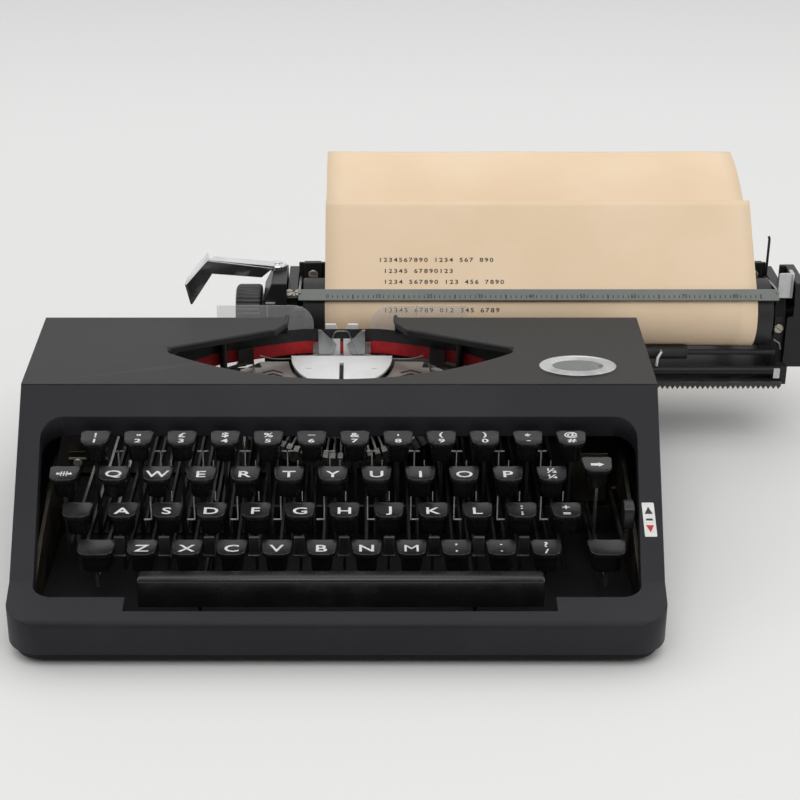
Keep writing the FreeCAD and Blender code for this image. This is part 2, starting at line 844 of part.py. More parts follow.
def make_type_action():
    bar = middle_type_bar()
    half = segment_thickness / 2
    inner, outer = bar_length - segment_inner, bar_length + segment_outer
    ring = swept(segment_outline([(inner, -half), (outer, -half), (outer, half), (inner, half)]),
                 fan_half_angle + segment_end_angle)
    floor = bar_length + bar_width / 2 + segment_slot_clearance
    reach = half + overrun
    flare = math.radians(rest_flare)
    ramp = bar_length + bar_width / 2 / math.cos(flare) + segment_slot_clearance
    slot = extrude_thin(segment_outline([(inner - overrun, -reach), (floor, -reach), (floor, 0), (ramp, 0),
                                         (ramp + reach * math.tan(flare), reach), (inner - overrun, reach)]),
                        bar_thickness + 2 * segment_slot_clearance)
    ring = ring.cut(group([fanned(slot, angle) for angle in fan_angles()]))
    parts["segment"] = ring
    middle = bar_count // 2
    parts["type_bars"] = group([fanned(bar, angle) for index, angle in enumerate(fan_angles()) if index != middle])
    parts["h_type_bar"] = bar
    along = bar_length * rest_pad_share
    low = along - rest_pad_length / 2
    high = along + rest_pad_length / 2
    top = bar_length + high * math.tan(flare) + bar_width / 2 / math.cos(flare) + rest_gap
    pad = swept(segment_outline([(top, low), (top + rest_pad_height, low), (top + rest_pad_height, high),
                                 (top, high)]), fan_half_angle + segment_end_angle / 2)
    parts["type_bar_rest"] = pad
    lanes = (number_row_first_x + lower_row_first_x + key_pitch) / 2
    plates = [lanes + index * key_pitch for index in segment_plate_indices]
    profile = [(rest_foot_front, pan_top()), (rest_foot_front, rest_foot_top), (rest_foot_rear, rest_foot_top),
               (rest_foot_rear + rest_pad_height, plate_waist_top), (segment_foot_front, plate_waist_top),
               (segment_foot_front, segment_foot_top), (segment_foot_rear, segment_foot_top),
               (segment_foot_rear, pan_top())]
    solids = []
    for x in plates:
        plate = side_plate(profile, x - segment_plate_thickness / 2, x + segment_plate_thickness / 2)
        passage = box(x - segment_plate_thickness, x + segment_plate_thickness,
                      universal_bar_depth - universal_bar_width, universal_bar_depth + universal_bar_width,
                      pan_top(), pan_top() + universal_drop + 2 * universal_bar_height)
        plate = plate.cut(ring).cut(pad).cut(passage)
        solids.append(max(plate.Solids, key=lambda solid: solid.Volume))
    parts["segment_plates"] = group(solids)
    return plates


def make_chassis():
    profile = [(chassis_front_depth, pan_top()), (chassis_front_depth, chassis_front_height),
               (chassis_knee_depth, chassis_knee_height), (spool_shelf_front, spool_shelf_height),
               (spool_shelf_rear, spool_shelf_height), (spool_shelf_rear, chassis_rear_height),
               (chassis_rear_depth, chassis_rear_height), (chassis_rear_depth, pan_top())]
    left = side_plate(profile, -chassis_half_width - chassis_plate, -chassis_half_width)
    right = side_plate(profile, chassis_half_width, chassis_half_width + chassis_plate)
    pin = rod_x(selector_x - lever_thickness / 2, chassis_half_width, selector_pivot_depth,
                selector_pivot_height, pivot_rod_radius)
    parts["side_frames"] = group([left, right.fuse(pin).removeSplitter()])
    comb = box(-chassis_half_width, chassis_half_width, comb_depth, comb_depth + comb_thickness,
               pan_top(), comb_height)
    drop = (pivot_depth - comb_depth) * math.sin(math.radians(key_press_angle))
    slot_low = lever_line(comb_depth) - lever_height / 2 - drop - comb_slot_floor
    slots = []
    for x in lever_lanes() + [selector_x]:
        half = lever_thickness / 2 + comb_slot_margin
        slots.append(box(x - half, x + half, comb_depth - overrun, comb_depth + comb_thickness + overrun,
                         slot_low, comb_height + overrun))
    parts["key_comb"] = comb.cut(group(slots))
    half = universal_bar_width / 2
    low = pan_top() + universal_drop + seam_gap
    parts["universal_bar"] = box(-chassis_half_width + seam_gap, chassis_half_width - seam_gap,
                                 universal_bar_depth - half, universal_bar_depth + half,
                                 low, low + universal_bar_height)


def lever_lanes():
    lanes = []
    for _, first, count in key_rows():
        lanes += [first + index * key_pitch for index in range(count)]
    lanes += [(upper_row_first_x + home_row_first_x) / 2 + index * key_pitch for index in space_arm_indices]
    return lanes + [left_shift_x, right_shift_x, lock_key_x, margin_key_x, backspace_x]


def spool(side):
    """A ribbon spool standing on its pin, its flange below the wound ribbon."""
    x = side * spool_x
    low = ribbon_low - spool_gap
    high = ribbon_low + ribbon_width + spool_gap
    bore = spool_pin_radius + pivot_clearance
    wound = spool_radius * spool_fill_share
    foot = spool_shelf_height + spool_shelf_thickness + seam_gap
    corners = [(bore, foot), (spool_radius, foot), (spool_radius, low), (wound, low), (wound, high), (bore, high)]
    points = [Vector(x + radius, spool_depth, z) for radius, z in corners]
    face = Part.Face(Part.makePolygon(points + points[:1]))
    return face.revolve(Vector(x, spool_depth, 0), Vector(0, 0, 1), 360)


def ribbon_run(points):
    """A standing strip through (x, y) points, one thickness wide."""
    half = ribbon_thickness / 2
    solids = []
    for start, end in zip(points, points[1:]):
        along = Vector(end[0] - start[0], end[1] - start[1], 0)
        along.normalize()
        side = Vector(-along.y, along.x, 0) * half
        corners = [Vector(start[0], start[1], ribbon_low) + side, Vector(end[0], end[1], ribbon_low) + side,
                   Vector(end[0], end[1], ribbon_low) - side, Vector(start[0], start[1], ribbon_low) - side]
        solids.append(Part.Face(Part.makePolygon(corners + corners[:1])).extrude(Vector(0, 0, ribbon_width)))
    return fused(solids)


def make_ribbon():
    shelves = []
    for side in (-1, 1):
        shelf = plan_plate([(side * spool_shelf_inner, spool_shelf_front),
                            (side * (chassis_half_width + chassis_plate), spool_shelf_front),
                            (side * (chassis_half_width + chassis_plate), spool_shelf_rear),
                            (side * guide_post_x, spool_shelf_rear),
                            (side * guide_post_x, spool_shelf_rear - guide_arm_width),
                            (side * spool_shelf_inner, spool_shelf_rear - 2 * guide_arm_width)],
                           spool_shelf_height, spool_shelf_height + spool_shelf_thickness)
        pin = rod_z(side * spool_x, spool_depth, spool_shelf_height,
                    ribbon_low + ribbon_width + 2 * spool_gap, spool_pin_radius)
        post = rod_z(side * (guide_post_x + 2 * guide_post_radius), spool_shelf_rear - 2 * guide_post_radius,
                     spool_shelf_height, ribbon_low + ribbon_width + spool_gap, guide_post_radius)
        shelves.append(fused([shelf, pin, post]))
        parts[("left" if side < 0 else "right") + "_ribbon_spool"] = spool(side)
    parts["spool_shelves"] = group(shelves)
    turn_x = guide_post_x + 2 * guide_post_radius
    turn_depth = spool_shelf_rear - guide_post_radius + ribbon_thickness * 4
    centre = type_guide_width / 2
    start_x = spool_x - spool_radius * spool_fill_share - ribbon_thickness
    points = [(-start_x, spool_depth), (-turn_x, turn_depth), (-centre - vibrator_width / 2, ribbon_depth),
              (centre + vibrator_width / 2, ribbon_depth), (turn_x, turn_depth), (start_x, spool_depth)]
    parts["ribbon"] = ribbon_run(points)


def make_type_guide():
    low = ribbon_low
    half = type_guide_width / 2
    notch = type_guide_notch / 2
    gap = type_guide_gap
    foot = shield_leg_x + shield_thickness
    points = [(-foot, guide_foot_low), (foot, guide_foot_low), (foot, guide_foot_low + guide_foot_height),
              (half, guide_foot_low + guide_foot_height), (half, low + ribbon_width + guide_ear_rise),
              (gap, low + ribbon_width + guide_ear_rise), (notch, low + ribbon_width - gap),
              (-notch, low + ribbon_width - gap), (-gap, low + ribbon_width + guide_ear_rise),
              (-half, low + ribbon_width + guide_ear_rise), (-half, guide_foot_low + guide_foot_height),
              (-foot, guide_foot_low + guide_foot_height)]
    depth = ribbon_depth + guide_behind
    parts["type_guide"] = front_plate(points, depth, depth + type_guide_thickness)
    wire = vibrator_wire
    front = ribbon_depth - vibrator_stand_off
    outer = vibrator_width / 2
    low_edge = low - vibrator_lift - wire - seam_gap
    frame = front_plate([(-outer, low_edge), (outer, low_edge), (outer, low + ribbon_width),
                         (outer - wire, low + ribbon_width), (notch + wire, low + vibrator_lift),
                         (outer - 2 * wire, low_edge + wire), (2 * wire - outer, low_edge + wire),
                         (-notch - wire, low + vibrator_lift), (wire - outer, low + ribbon_width),
                         (-outer, low + ribbon_width)], front - wire / 2, front + wire / 2)
    stem = box(-wire, wire, front - wire / 2, front + wire / 2, vibrator_stem_low, low_edge + wire)
    parts["ribbon_vibrator"] = fused([frame, stem])
    tilt = shield_dip
    disc = Part.makeCylinder(shield_radius, shield_thickness, Vector(0, 0, -shield_thickness), Vector(0, 0, 1))
    disc = disc.cut(box(-shield_radius, shield_radius, 0, shield_radius, -overrun, overrun))
    slit = box(-bar_thickness / 2 - shield_slit, bar_thickness / 2 + shield_slit, -shield_radius - overrun,
               -shield_slit_end, -overrun, overrun)
    disc = disc.cut(slit)
    disc.Placement = FreeCAD.Placement(Vector(0, shield_depth, shield_height),
                                       FreeCAD.Rotation(Vector(1, 0, 0), tilt))
    legs = [box(side * shield_leg_x - shield_thickness, side * shield_leg_x + shield_thickness,
                shield_leg_front, depth, shield_leg_low, shield_leg_top) for side in (-1, 1)]
    shield = fused([disc] + [leg.cut(parts["segment"]) for leg in legs])
    parts["shield_plate"] = max(shield.Solids, key=lambda solid: solid.Volume)
    holders = []
    for side in (-1, 1):
        near = side * holder_inner_x
        far = side * (holder_inner_x + holder_width)
        plate = front_plate([(near, holder_low), (far, holder_low), (far, holder_high), (near, holder_high)],
                            holder_depth, holder_depth + holder_thickness)
        corner = [e for e in plate.Edges if abs(e.CenterOfMass.x - near) < seam_gap
                  and abs(e.CenterOfMass.z - holder_high) < seam_gap]
        plate = plate.makeFillet(holder_corner_radius, corner)
        leg_near, leg_far = sorted((side * (guide_post_x + guide_post_radius),
                                    side * (guide_post_x + 3 * guide_post_radius)))
        shelf_top = spool_shelf_height + spool_shelf_thickness
        leg = box(leg_near, leg_far, holder_depth, holder_depth + holder_thickness, spool_shelf_height, holder_low)
        foot = box(leg_near, leg_far, spool_shelf_rear, holder_depth, spool_shelf_height, shelf_top)
        holders.append(fused([plate, leg, foot]))
    parts["card_holders"] = group(holders)


def gear_outline(teeth, root, tip):
    """Corner points of a wheel with pointed teeth about zero, two to each tooth."""
    points = []
    for index in range(teeth):
        for radius, part in ((tip, 0), (root, 0.5)):
            angle = 2 * math.pi * (index + part) / teeth
            points.append((radius * math.sin(angle), radius * math.cos(angle)))
    return points


def rack_level():
    """Middle height of the rack's teeth."""
    return rack_height - rack_tooth / 2


def make_escapement():
    x = escapement_index * rack_pitch
    pitch_radius = pinion_teeth * rack_pitch / (2 * math.pi)
    z = rack_level() - pitch_radius
    depth = rack_depth - rack_thickness / 2
    tip = pitch_radius + rack_tooth / 2 - mesh_clearance
    root = pitch_radius - rack_tooth / 2 - mesh_clearance
    points = gear_outline(pinion_teeth, root, tip)
    pinion = front_plate([(x + px, z + pz) for px, pz in points], depth, depth + rack_thickness)
    star = gear_outline(wheel_teeth, wheel_radius * wheel_root_share, wheel_radius)
    star = front_plate([(x + px, z + pz) for px, pz in star], escapement_front + wheel_thickness,
                       escapement_front + 2 * wheel_thickness)
    bracket_depth = depth + rack_thickness + seam_gap
    shaft = Part.makeCylinder(escapement_shaft_radius, bracket_depth + escapement_plate - escapement_front,
                              Vector(x, escapement_front, z), Vector(0, 1, 0))
    parts["escapement_wheel"] = fused([pinion, star, shaft])
    half = escapement_plate_width / 2
    plate = box(x - half, x + half, bracket_depth, bracket_depth + escapement_plate, escapement_plate_low,
                z + 2 * escapement_shaft_radius)
    tongue = box(x - half, x + half, bracket_depth, rear_frame_front, escapement_plate_low,
                 escapement_plate_low + escapement_plate)
    hole = Part.makeCylinder(escapement_shaft_radius + pivot_clearance, 2 * overrun,
                             Vector(x, bracket_depth - overrun / 2, z), Vector(0, 1, 0))
    return fused([plate, tongue]).cut(hole)


def make_rear_frame(bracket):
    width = chassis_half_width
    front = box(-width, width, rear_frame_front, rear_frame_front + rear_frame_plate, pan_top(), rail_low)
    rear = box(-width, width, rear_frame_rear - rear_frame_plate, rear_frame_rear, pan_top(), rail_low)
    top = box(-width, width, rear_frame_front, rear_frame_rear, rail_low - rear_frame_plate, rail_low)
    pin_start = rear_frame_rear - rear_frame_plate
    drum_z = pan_top() + drum_radius + drum_floor_gap
    pin = Part.makeCylinder(drum_hub_radius, drum_length + rear_frame_plate + drum_floor_gap,
                            Vector(drum_x, pin_start, drum_z), Vector(0, 1, 0))
    parts["rear_cross_frame"] = fused([front, rear, top, pin, bracket])
    half = rail_width / 2
    waist = half - rail_groove
    middle = (rail_low + rail_high) / 2
    rail = side_plate([(rail_depth - half, rail_low), (rail_depth + half, rail_low), (rail_depth + half, middle),
                       (rail_depth + waist, middle), (rail_depth + waist, rail_high - rail_groove),
                       (rail_depth + half, rail_high - rail_groove), (rail_depth + half, rail_high),
                       (rail_depth - half, rail_high), (rail_depth - half, rail_high - rail_groove),
                       (rail_depth - waist, rail_high - rail_groove), (rail_depth - waist, middle),
                       (rail_depth - half, middle)], -rail_half_length, rail_half_length)
    parts["rear_rail"] = rail
    start = rear_frame_rear + drum_floor_gap
    drum = Part.makeCylinder(drum_radius, drum_length, Vector(drum_x, start, drum_z), Vector(0, 1, 0))
    bore = Part.makeCylinder(drum_hub_radius + pivot_clearance, drum_length + 2 * overrun,
                             Vector(drum_x, start - overrun, drum_z), Vector(0, 1, 0))
    parts["mainspring_drum"] = drum.cut(bore)


def bar_between(start, end, width, thickness):
    """A flat bar from one point to another, its width level and across its run."""
    run = end - start
    bar = Part.makeBox(run.Length, width, thickness, Vector(0, -width / 2, -thickness / 2))
    yaw = math.degrees(math.atan2(run.y, run.x))
    pitch = math.degrees(math.atan2(run.z, math.hypot(run.x, run.y)))
    turn = FreeCAD.Rotation(Vector(0, 0, 1), yaw).multiply(FreeCAD.Rotation(Vector(0, 1, 0), -pitch))
    bar.Placement = FreeCAD.Placement(start, turn)
    return bar


def carriage_span():
    """Half lengths from the carriage's middle: inner and outer face of an end plate."""
    inner = platen_half_length + 2 * arm_gap + bail_arm_thickness
    return inner, carriage_half_width - cover_width


def make_carriage_frame():
    inner, outer = carriage_span()
    left, right = carriage_x - outer, carriage_x + outer
    plate = box(left, right, frame_front_depth, frame_rear_depth, frame_low, frame_high)
    hollow = box(left - overrun, right + overrun, frame_front_depth + frame_wall, rail_depth - rail_width,
                 frame_low - overrun, frame_high - frame_wall)
    behind = box(left - overrun, right + overrun, rail_depth + rail_width, frame_rear_depth - frame_wall,
                 frame_low - overrun, frame_high - frame_wall)
    teeth_clear = box(left - overrun, right + overrun, frame_front_depth - overrun, frame_front_depth + frame_wall,
                      frame_low - overrun, rack_height)
    shapes = [plate.cut(hollow).cut(behind).cut(teeth_clear)]
    near = rail_width / 2 + rail_side_gap
    for side in (-1, 1):
        y0, y1 = sorted((rail_depth + side * near, rail_depth + side * (near + frame_wall)))
        shapes.append(box(left, right, y0, y1, frame_low - frame_lip, frame_low))
        middle = carriage_x + side * (inner + outer) / 2
        shapes.append(rod_z(middle, lift_pin_depth, frame_high, frame_high + lift_pin_height, lift_pin_radius))
        x0, x1 = sorted((carriage_x + side * outer, carriage_x + side * (outer - ear_width)))
        shapes.append(box(x0, x1, frame_front_depth, front_tube_depth + front_tube_radius, frame_high, ear_height))
        shapes.append(box(x0, x1, margin_rail_depth, frame_rear_depth, frame_high,
                          margin_rail_height + margin_rail_size))
    shapes.append(rod_x(left + ear_width, right - ear_width, front_tube_depth, front_tube_height, front_tube_radius))
    shapes.append(box(left + ear_width, right - ear_width, margin_rail_depth, margin_rail_depth + margin_rail_size / 2,
                      margin_rail_height, margin_rail_height + margin_rail_size))
    parts["carriage_frame"] = fused(shapes)
    half = rack_pitch / 2
    first = escapement_index * rack_pitch - half
    count_left = math.floor((first - left) / rack_pitch)
    start = first - count_left * rack_pitch
    points = [(start - half, rack_height), (start - half, rack_height + rack_bar_height)]
    end = start + rack_teeth * rack_pitch
    points += [(end - half, rack_height + rack_bar_height), (end - half, rack_height)]
    for index in reversed(range(rack_teeth)):
        x = start + index * rack_pitch
        points.append((x, rack_height - rack_tooth))
        if index:
            points.append((x - half, rack_height))
    parts["escapement_rack"] = front_plate(points, rack_depth - rack_thickness / 2, rack_depth + rack_thickness / 2)


def make_platen():
    inner, outer = carriage_span()
    ends, covers = [], []
    for side in (-1, 1):
        x0, x1 = sorted((carriage_x + side * inner, carriage_x + side * outer))
        low = frame_high + end_plate_low_gap
        profile = [(end_plate_front, low), (end_plate_front, platen_height), (platen_depth - shaft_radius, end_plate_high),
                   (end_plate_rear, end_plate_high), (end_plate_rear, low)]
        plate = side_plate(profile, x0, x1)
        plate = plate.cut(rod_x(x0 - overrun, x1 + overrun, platen_depth, platen_height,
                                shaft_radius + shaft_clearance))
        plate = plate.cut(rod_z((x0 + x1) / 2, lift_pin_depth, low - overrun,
                                frame_high + lift_pin_height + end_plate_low_gap, lift_pin_radius + pivot_clearance))
        pin0, pin1 = sorted((carriage_x + side * inner, carriage_x + side * (platen_half_length + arm_gap / 2)))
        plate = plate.fuse(rod_x(pin0, pin1, bail_pivot_depth, bail_pivot_height, bail_pivot_radius))
        ends.append(plate.removeSplitter())
        edge = carriage_x + side * carriage_half_width
        near = carriage_x + side * outer
        outline = [(near, cover_low), (edge, cover_low), (edge, cover_high - cover_chamfer),
                   (edge - side * cover_chamfer / 2, cover_high), (near, cover_high)]
        cover = front_plate(outline, cover_front_depth, cover_rear_depth)
        wall = side * cover_shell
        hollow = front_plate([(near, cover_low + cover_shell), (edge - wall, cover_low + cover_shell),
                              (edge - wall, cover_high - cover_chamfer - cover_shell),
                              (edge - side * cover_chamfer / 2 - wall, cover_high - cover_shell),
                              (near, cover_high - cover_shell)],
                             cover_front_depth + cover_shell, cover_rear_depth - cover_shell)
        c0, c1 = sorted((near - side * overrun, edge + side * overrun))
        cover = cover.cut(hollow).cut(rod_x(c0, c1, platen_depth, platen_height, shaft_radius + arm_gap))
        covers.append(cover)
    slot = box(carriage_x + outer - overrun, release_x + release_slot / 2, cover_front_depth - overrun,
               release_pivot_depth + release_width, release_pivot_height - release_width, cover_high + overrun)
    covers[1] = covers[1].cut(slot)
    stub = rod_x(carriage_x + outer, release_x + release_slot, release_pivot_depth, release_pivot_height,
                 bail_pivot_radius)
    ends[1] = ends[1].fuse(stub).removeSplitter()
    parts["platen_end_plates"] = group(ends)
    parts["end_covers"] = group(covers)
    tube = rod_x(carriage_x - platen_half_length, carriage_x + platen_half_length, platen_depth, platen_height,
                 platen_radius)
    shaft_half = carriage_half_width + knob_gap + knob_length
    parts["platen"] = tube.cut(rod_x(carriage_x - shaft_half, carriage_x + shaft_half, platen_depth, platen_height,
                                     shaft_radius))
    parts["platen_shaft"] = rod_x(carriage_x - shaft_half, carriage_x + shaft_half, platen_depth, platen_height,
                                  shaft_radius)
    knobs = []
    for side in (-1, 1):
        x0, x1 = sorted((carriage_x + side * (carriage_half_width + knob_gap), carriage_x + side * shaft_half))
        rim = gear_outline(knob_flutes, knob_radius - knob_flute_depth, knob_radius)
        knob = side_plate([(platen_depth + px, platen_height + pz) for px, pz in rim], x0, x1)
        knobs.append(knob.cut(rod_x(x0 - overrun, x1 + overrun, platen_depth, platen_height, shaft_radius)))
    parts["platen_knobs"] = group(knobs)


def around_platen(radius, angle):
    turn = math.radians(angle)
    return platen_depth + radius * math.cos(turn), platen_height + radius * math.sin(turn)


def make_paper_parts():
    inner, outer = carriage_span()
    table = side_plate([(table_low_depth, table_low_height), (table_top_depth, table_top_height),
                        (table_top_depth + table_thickness, table_top_height),
                        (table_low_depth + table_thickness, table_low_height)],
                       carriage_x - inner, carriage_x + inner)
    parts["paper_table"] = table
    reach = platen_half_length + arm_gap
    bar = box(-reach - bail_arm_thickness, reach + bail_arm_thickness, -bail_bar_height / 2, bail_bar_height / 2,
              0, bail_bar_thickness)
    y, z = around_platen(platen_radius + bail_gap, bail_angle)
    bar.Placement = FreeCAD.Placement(Vector(carriage_x, y, z), FreeCAD.Rotation(Vector(1, 0, 0), bail_angle - 90))
    arms = []
    half = bail_arm_width / 2
    for side in (-1, 1):
        x0, x1 = sorted((carriage_x + side * reach, carriage_x + side * (reach + bail_arm_thickness)))
        arm_end = bail_pivot_depth + half
        arm = side_plate([(y - bail_arm_thickness, z - half), (arm_end, bail_pivot_height - half),
                          (arm_end, bail_pivot_height + half), (y - bail_arm_thickness, z + half)], x0, x1)
        bore = rod_x(x0 - overrun, x1 + overrun, bail_pivot_depth, bail_pivot_height,
                     bail_pivot_radius + pivot_clearance)
        arms.append(arm.cut(bore))
    parts["paper_bail"] = fused([bar] + arms)
    for name, angle in (("front_feed_roller", front_roller_angle), ("rear_feed_roller", rear_roller_angle)):
        radial = platen_radius + paper_clearance + paper_thickness + roller_gap + roller_radius
        y, z = around_platen(radial, angle)
        shaft = rod_x(carriage_x - inner, carriage_x + inner, y, z, roller_shaft_radius)
        rollers = []
        for index in range(roller_count):
            middle = carriage_x + (index - (roller_count - 1) / 2) * roller_spacing
            rollers.append(rod_x(middle - roller_length / 2, middle + roller_length / 2, y, z, roller_radius))
        parts[name] = fused([shaft] + rollers)
    make_paper()


def make_paper():
    x0, x1 = paper_left_x, paper_left_x + paper_width
    near = platen_radius + paper_clearance
    far = near + paper_thickness
    ring = rod_x(x0, x1, platen_depth, platen_height, far).cut(
        rod_x(x0, x1, platen_depth, platen_height, near))
    y, z = around_platen(near, paper_head_angle)
    outer_y, outer_z = around_platen(far, paper_head_angle)
    keep = side_plate([(platen_depth, platen_height), (platen_depth + 2 * far, platen_height),
                       (platen_depth + 2 * far, platen_height - 2 * far),
                       (platen_depth - 2 * far, platen_height - 2 * far),
                       (platen_depth - 2 * far, platen_height + 2 * far)], x0, x1)
    rise = math.radians(paper_head_angle - 90)
    run_y, run_z = paper_head_length * math.cos(rise), paper_head_length * math.sin(rise)
    head = side_plate([(y, z), (outer_y, outer_z), (outer_y + run_y, outer_z + run_z), (y + run_y, z + run_z)], x0, x1)
    rear = platen_depth + near
    straight_top = platen_height + paper_tail_rise
    lift = box(x0, x1, rear, rear + paper_thickness, platen_height, straight_top)
    first = bend_sheet(x0, x1, rear + paper_tail_radius, straight_top, paper_tail_radius, 0, paper_tail_bend)
    turn = math.radians(paper_tail_bend)
    shift = paper_end_radius - paper_tail_radius
    second = bend_sheet(x0, x1, rear + paper_tail_radius + shift * math.cos(turn),
                        straight_top - shift * math.sin(turn), paper_end_radius, paper_tail_bend,
                        paper_tail_bend + paper_end_bend)
    parts["paper_sheet"] = fused([ring.common(keep), head, lift, first, second])


def bend_sheet(x0, x1, centre_y, centre_z, radius, start, end):
    """A stretch of paper bent back about a level axis, angles counted from upright."""
    ring = rod_x(x0, x1, centre_y, centre_z, radius).cut(
        rod_x(x0, x1, centre_y, centre_z, radius - paper_thickness))
    reach = 2 * radius
    corners = [(centre_y, centre_z)]
    for angle in (start, (start + end) / 2, end):
        turn = math.radians(angle)
        corners.append((centre_y - reach * math.cos(turn), centre_z + reach * math.sin(turn)))
    return ring.common(side_plate(corners, x0, x1))


def make_levers():
    pivot = Vector(return_pivot_x, return_pivot_depth, cover_high + return_thickness)
    elbow = Vector(return_elbow_x, return_elbow_depth, return_elbow_height)
    tip = Vector(return_tip_x, return_tip_depth, return_tip_height)
    hub = rod_z(return_pivot_x, return_pivot_depth, cover_high, cover_high + return_hub_height, return_hub_radius)
    arm = bar_between(pivot, elbow, return_arm_width, return_thickness)
    arm = arm.cut(box(return_pivot_x - 2 * return_hub_radius, return_pivot_x + 2 * return_hub_radius,
                      return_pivot_depth - return_hub_radius * 2, return_pivot_depth + return_hub_radius * 2,
                      cover_high - overrun, cover_high))
    paddle = bar_between(elbow, tip, return_thickness, paddle_height)
    parts["return_lever"] = fused([hub, arm, paddle])
    half = release_width / 2
    x0, x1 = release_x - release_thickness / 2, release_x + release_thickness / 2
    front, tab_low = release_tip_depth - half, release_tip_height - release_tab_height
    plate = side_plate([(release_pivot_depth, release_pivot_height - half),
                        (release_pivot_depth + half, release_pivot_height),
                        (release_tip_depth + half, release_tip_height), (front, release_tip_height),
                        (front, tab_low)], x0, x1)
    tab = box(x0 - release_tab_width, x0, front, front + release_thickness, tab_low, release_tip_height)
    eye = rod_x(x0, x1, release_pivot_depth, release_pivot_height, half)
    bore = rod_x(x0 - overrun, x1 + overrun, release_pivot_depth, release_pivot_height,
                 bail_pivot_radius + pivot_clearance)
    parts["paper_release_lever"] = fused([plate, eye, tab]).cut(bore)
    inner, outer = carriage_span()
    for name, side in (("left_margin_stop", -1), ("right_margin_stop", 1)):
        middle = carriage_x + side * (outer - margin_stop_inset)
        half = margin_stop_width / 2
        gap, wall_size = margin_stop_gap, margin_stop_wall
        block = box(middle - half, middle + half, margin_rail_depth - gap - wall_size,
                    margin_rail_depth + margin_rail_size / 2 + gap + wall_size,
                    margin_rail_height - gap - wall_size,
                    margin_rail_height + margin_rail_size + gap + wall_size)
        passage = box(middle - margin_stop_width, middle + margin_stop_width, margin_rail_depth - gap,
                      margin_rail_depth + margin_rail_size / 2 + gap, margin_rail_height - gap,
                      margin_rail_height + margin_rail_size + gap)
        parts[name] = block.cut(passage)


def main():
    make_shells()
    make_badge()
    make_base()
    make_keys()
    make_side_keys()
    make_space_bar()
    make_type_action()
    make_chassis()
    make_ribbon()
    make_type_guide()
    make_rear_frame(make_escapement())
    make_carriage_frame()
    make_platen()
    make_paper_parts()
    make_levers()
    os.makedirs("parts", exist_ok=True)
    for name, shape in parts.items():
        shape.exportStep(os.path.join("parts", name + ".step"))
    print(len(parts), "parts written")


main()
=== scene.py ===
import math

import bmesh
import bpy
from mathutils import Matrix, Vector


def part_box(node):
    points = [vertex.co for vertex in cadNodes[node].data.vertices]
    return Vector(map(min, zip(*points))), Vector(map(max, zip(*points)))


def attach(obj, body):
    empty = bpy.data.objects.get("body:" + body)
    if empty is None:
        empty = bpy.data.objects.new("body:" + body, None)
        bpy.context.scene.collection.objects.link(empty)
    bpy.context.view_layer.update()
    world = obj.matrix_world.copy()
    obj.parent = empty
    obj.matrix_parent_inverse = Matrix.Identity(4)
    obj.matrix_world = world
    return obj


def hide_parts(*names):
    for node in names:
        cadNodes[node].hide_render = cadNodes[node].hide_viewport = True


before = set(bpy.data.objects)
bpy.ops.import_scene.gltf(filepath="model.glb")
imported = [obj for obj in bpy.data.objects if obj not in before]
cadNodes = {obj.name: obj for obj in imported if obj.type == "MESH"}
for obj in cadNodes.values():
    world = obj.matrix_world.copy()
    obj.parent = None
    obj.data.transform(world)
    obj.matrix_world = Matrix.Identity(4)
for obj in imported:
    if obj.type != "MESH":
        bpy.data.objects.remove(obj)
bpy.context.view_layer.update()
scene = bpy.context.scene
mm = 0.001
print("typewriter frame loaded:", len(cadNodes), "nodes")


def nodeSpan(name):
    # Low corner, high corner and middle of a CAD node in millimetres, rounded to a micrometre.
    low, high = ([round(value / mm, 3) for value in corner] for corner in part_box(name))
    return low, high, [(a + b) / 2 for a, b in zip(low, high)]


# Shared effects. Each is built once and placed in the materials with its own values.

def newGroup(name, inputs, outputs):
    group = bpy.data.node_groups.new(name, "ShaderNodeTree")
    for label, kind, value in inputs:
        socket = group.interface.new_socket(name=label, in_out="INPUT", socket_type=kind)
        socket.default_value = value
    for label, kind in outputs:
        group.interface.new_socket(name=label, in_out="OUTPUT", socket_type=kind)
    return group, group.nodes.new("NodeGroupInput"), group.nodes.new("NodeGroupOutput")


def mathNode(tree, operation, first, second=0.0, clamp=False):
    node = tree.nodes.new("ShaderNodeMath")
    node.operation = operation
    node.use_clamp = clamp
    for socket, value in zip(node.inputs, (first, second)):
        if isinstance(value, (int, float)):
            socket.default_value = value
        else:
            tree.links.new(value, socket)
    return node.outputs[0]


def rampNode(tree, value, low, high):
    node = tree.nodes.new("ShaderNodeMapRange")
    node.interpolation_type = "SMOOTHSTEP"
    node.inputs["From Min"].default_value = low
    node.inputs["From Max"].default_value = high
    tree.links.new(value, node.inputs["Value"])
    return node.outputs["Result"]


def noiseNode(tree, scale, detail=3.0, roughness=0.5, vector=None):
    node = tree.nodes.new("ShaderNodeTexNoise")
    node.inputs["Detail"].default_value = detail
    node.inputs["Roughness"].default_value = roughness
    if isinstance(scale, (int, float)):
        node.inputs["Scale"].default_value = scale
    else:
        tree.links.new(scale, node.inputs["Scale"])
    if vector is None:
        vector = tree.nodes.new("ShaderNodeTexCoord").outputs["Object"]
    tree.links.new(vector, node.inputs["Vector"])
    return node.outputs["Fac"]


def scaledAndRaised(tree, value, spread, base):
    result = mathNode(tree, "MULTIPLY_ADD", value, spread)
    result.node.inputs[2].default_value = base
    return result


wearEffect = {"radius": 0.9 * mm, "samples": 4, "patches": (0.38, 0.72), "bend": (0.02, 0.16)}


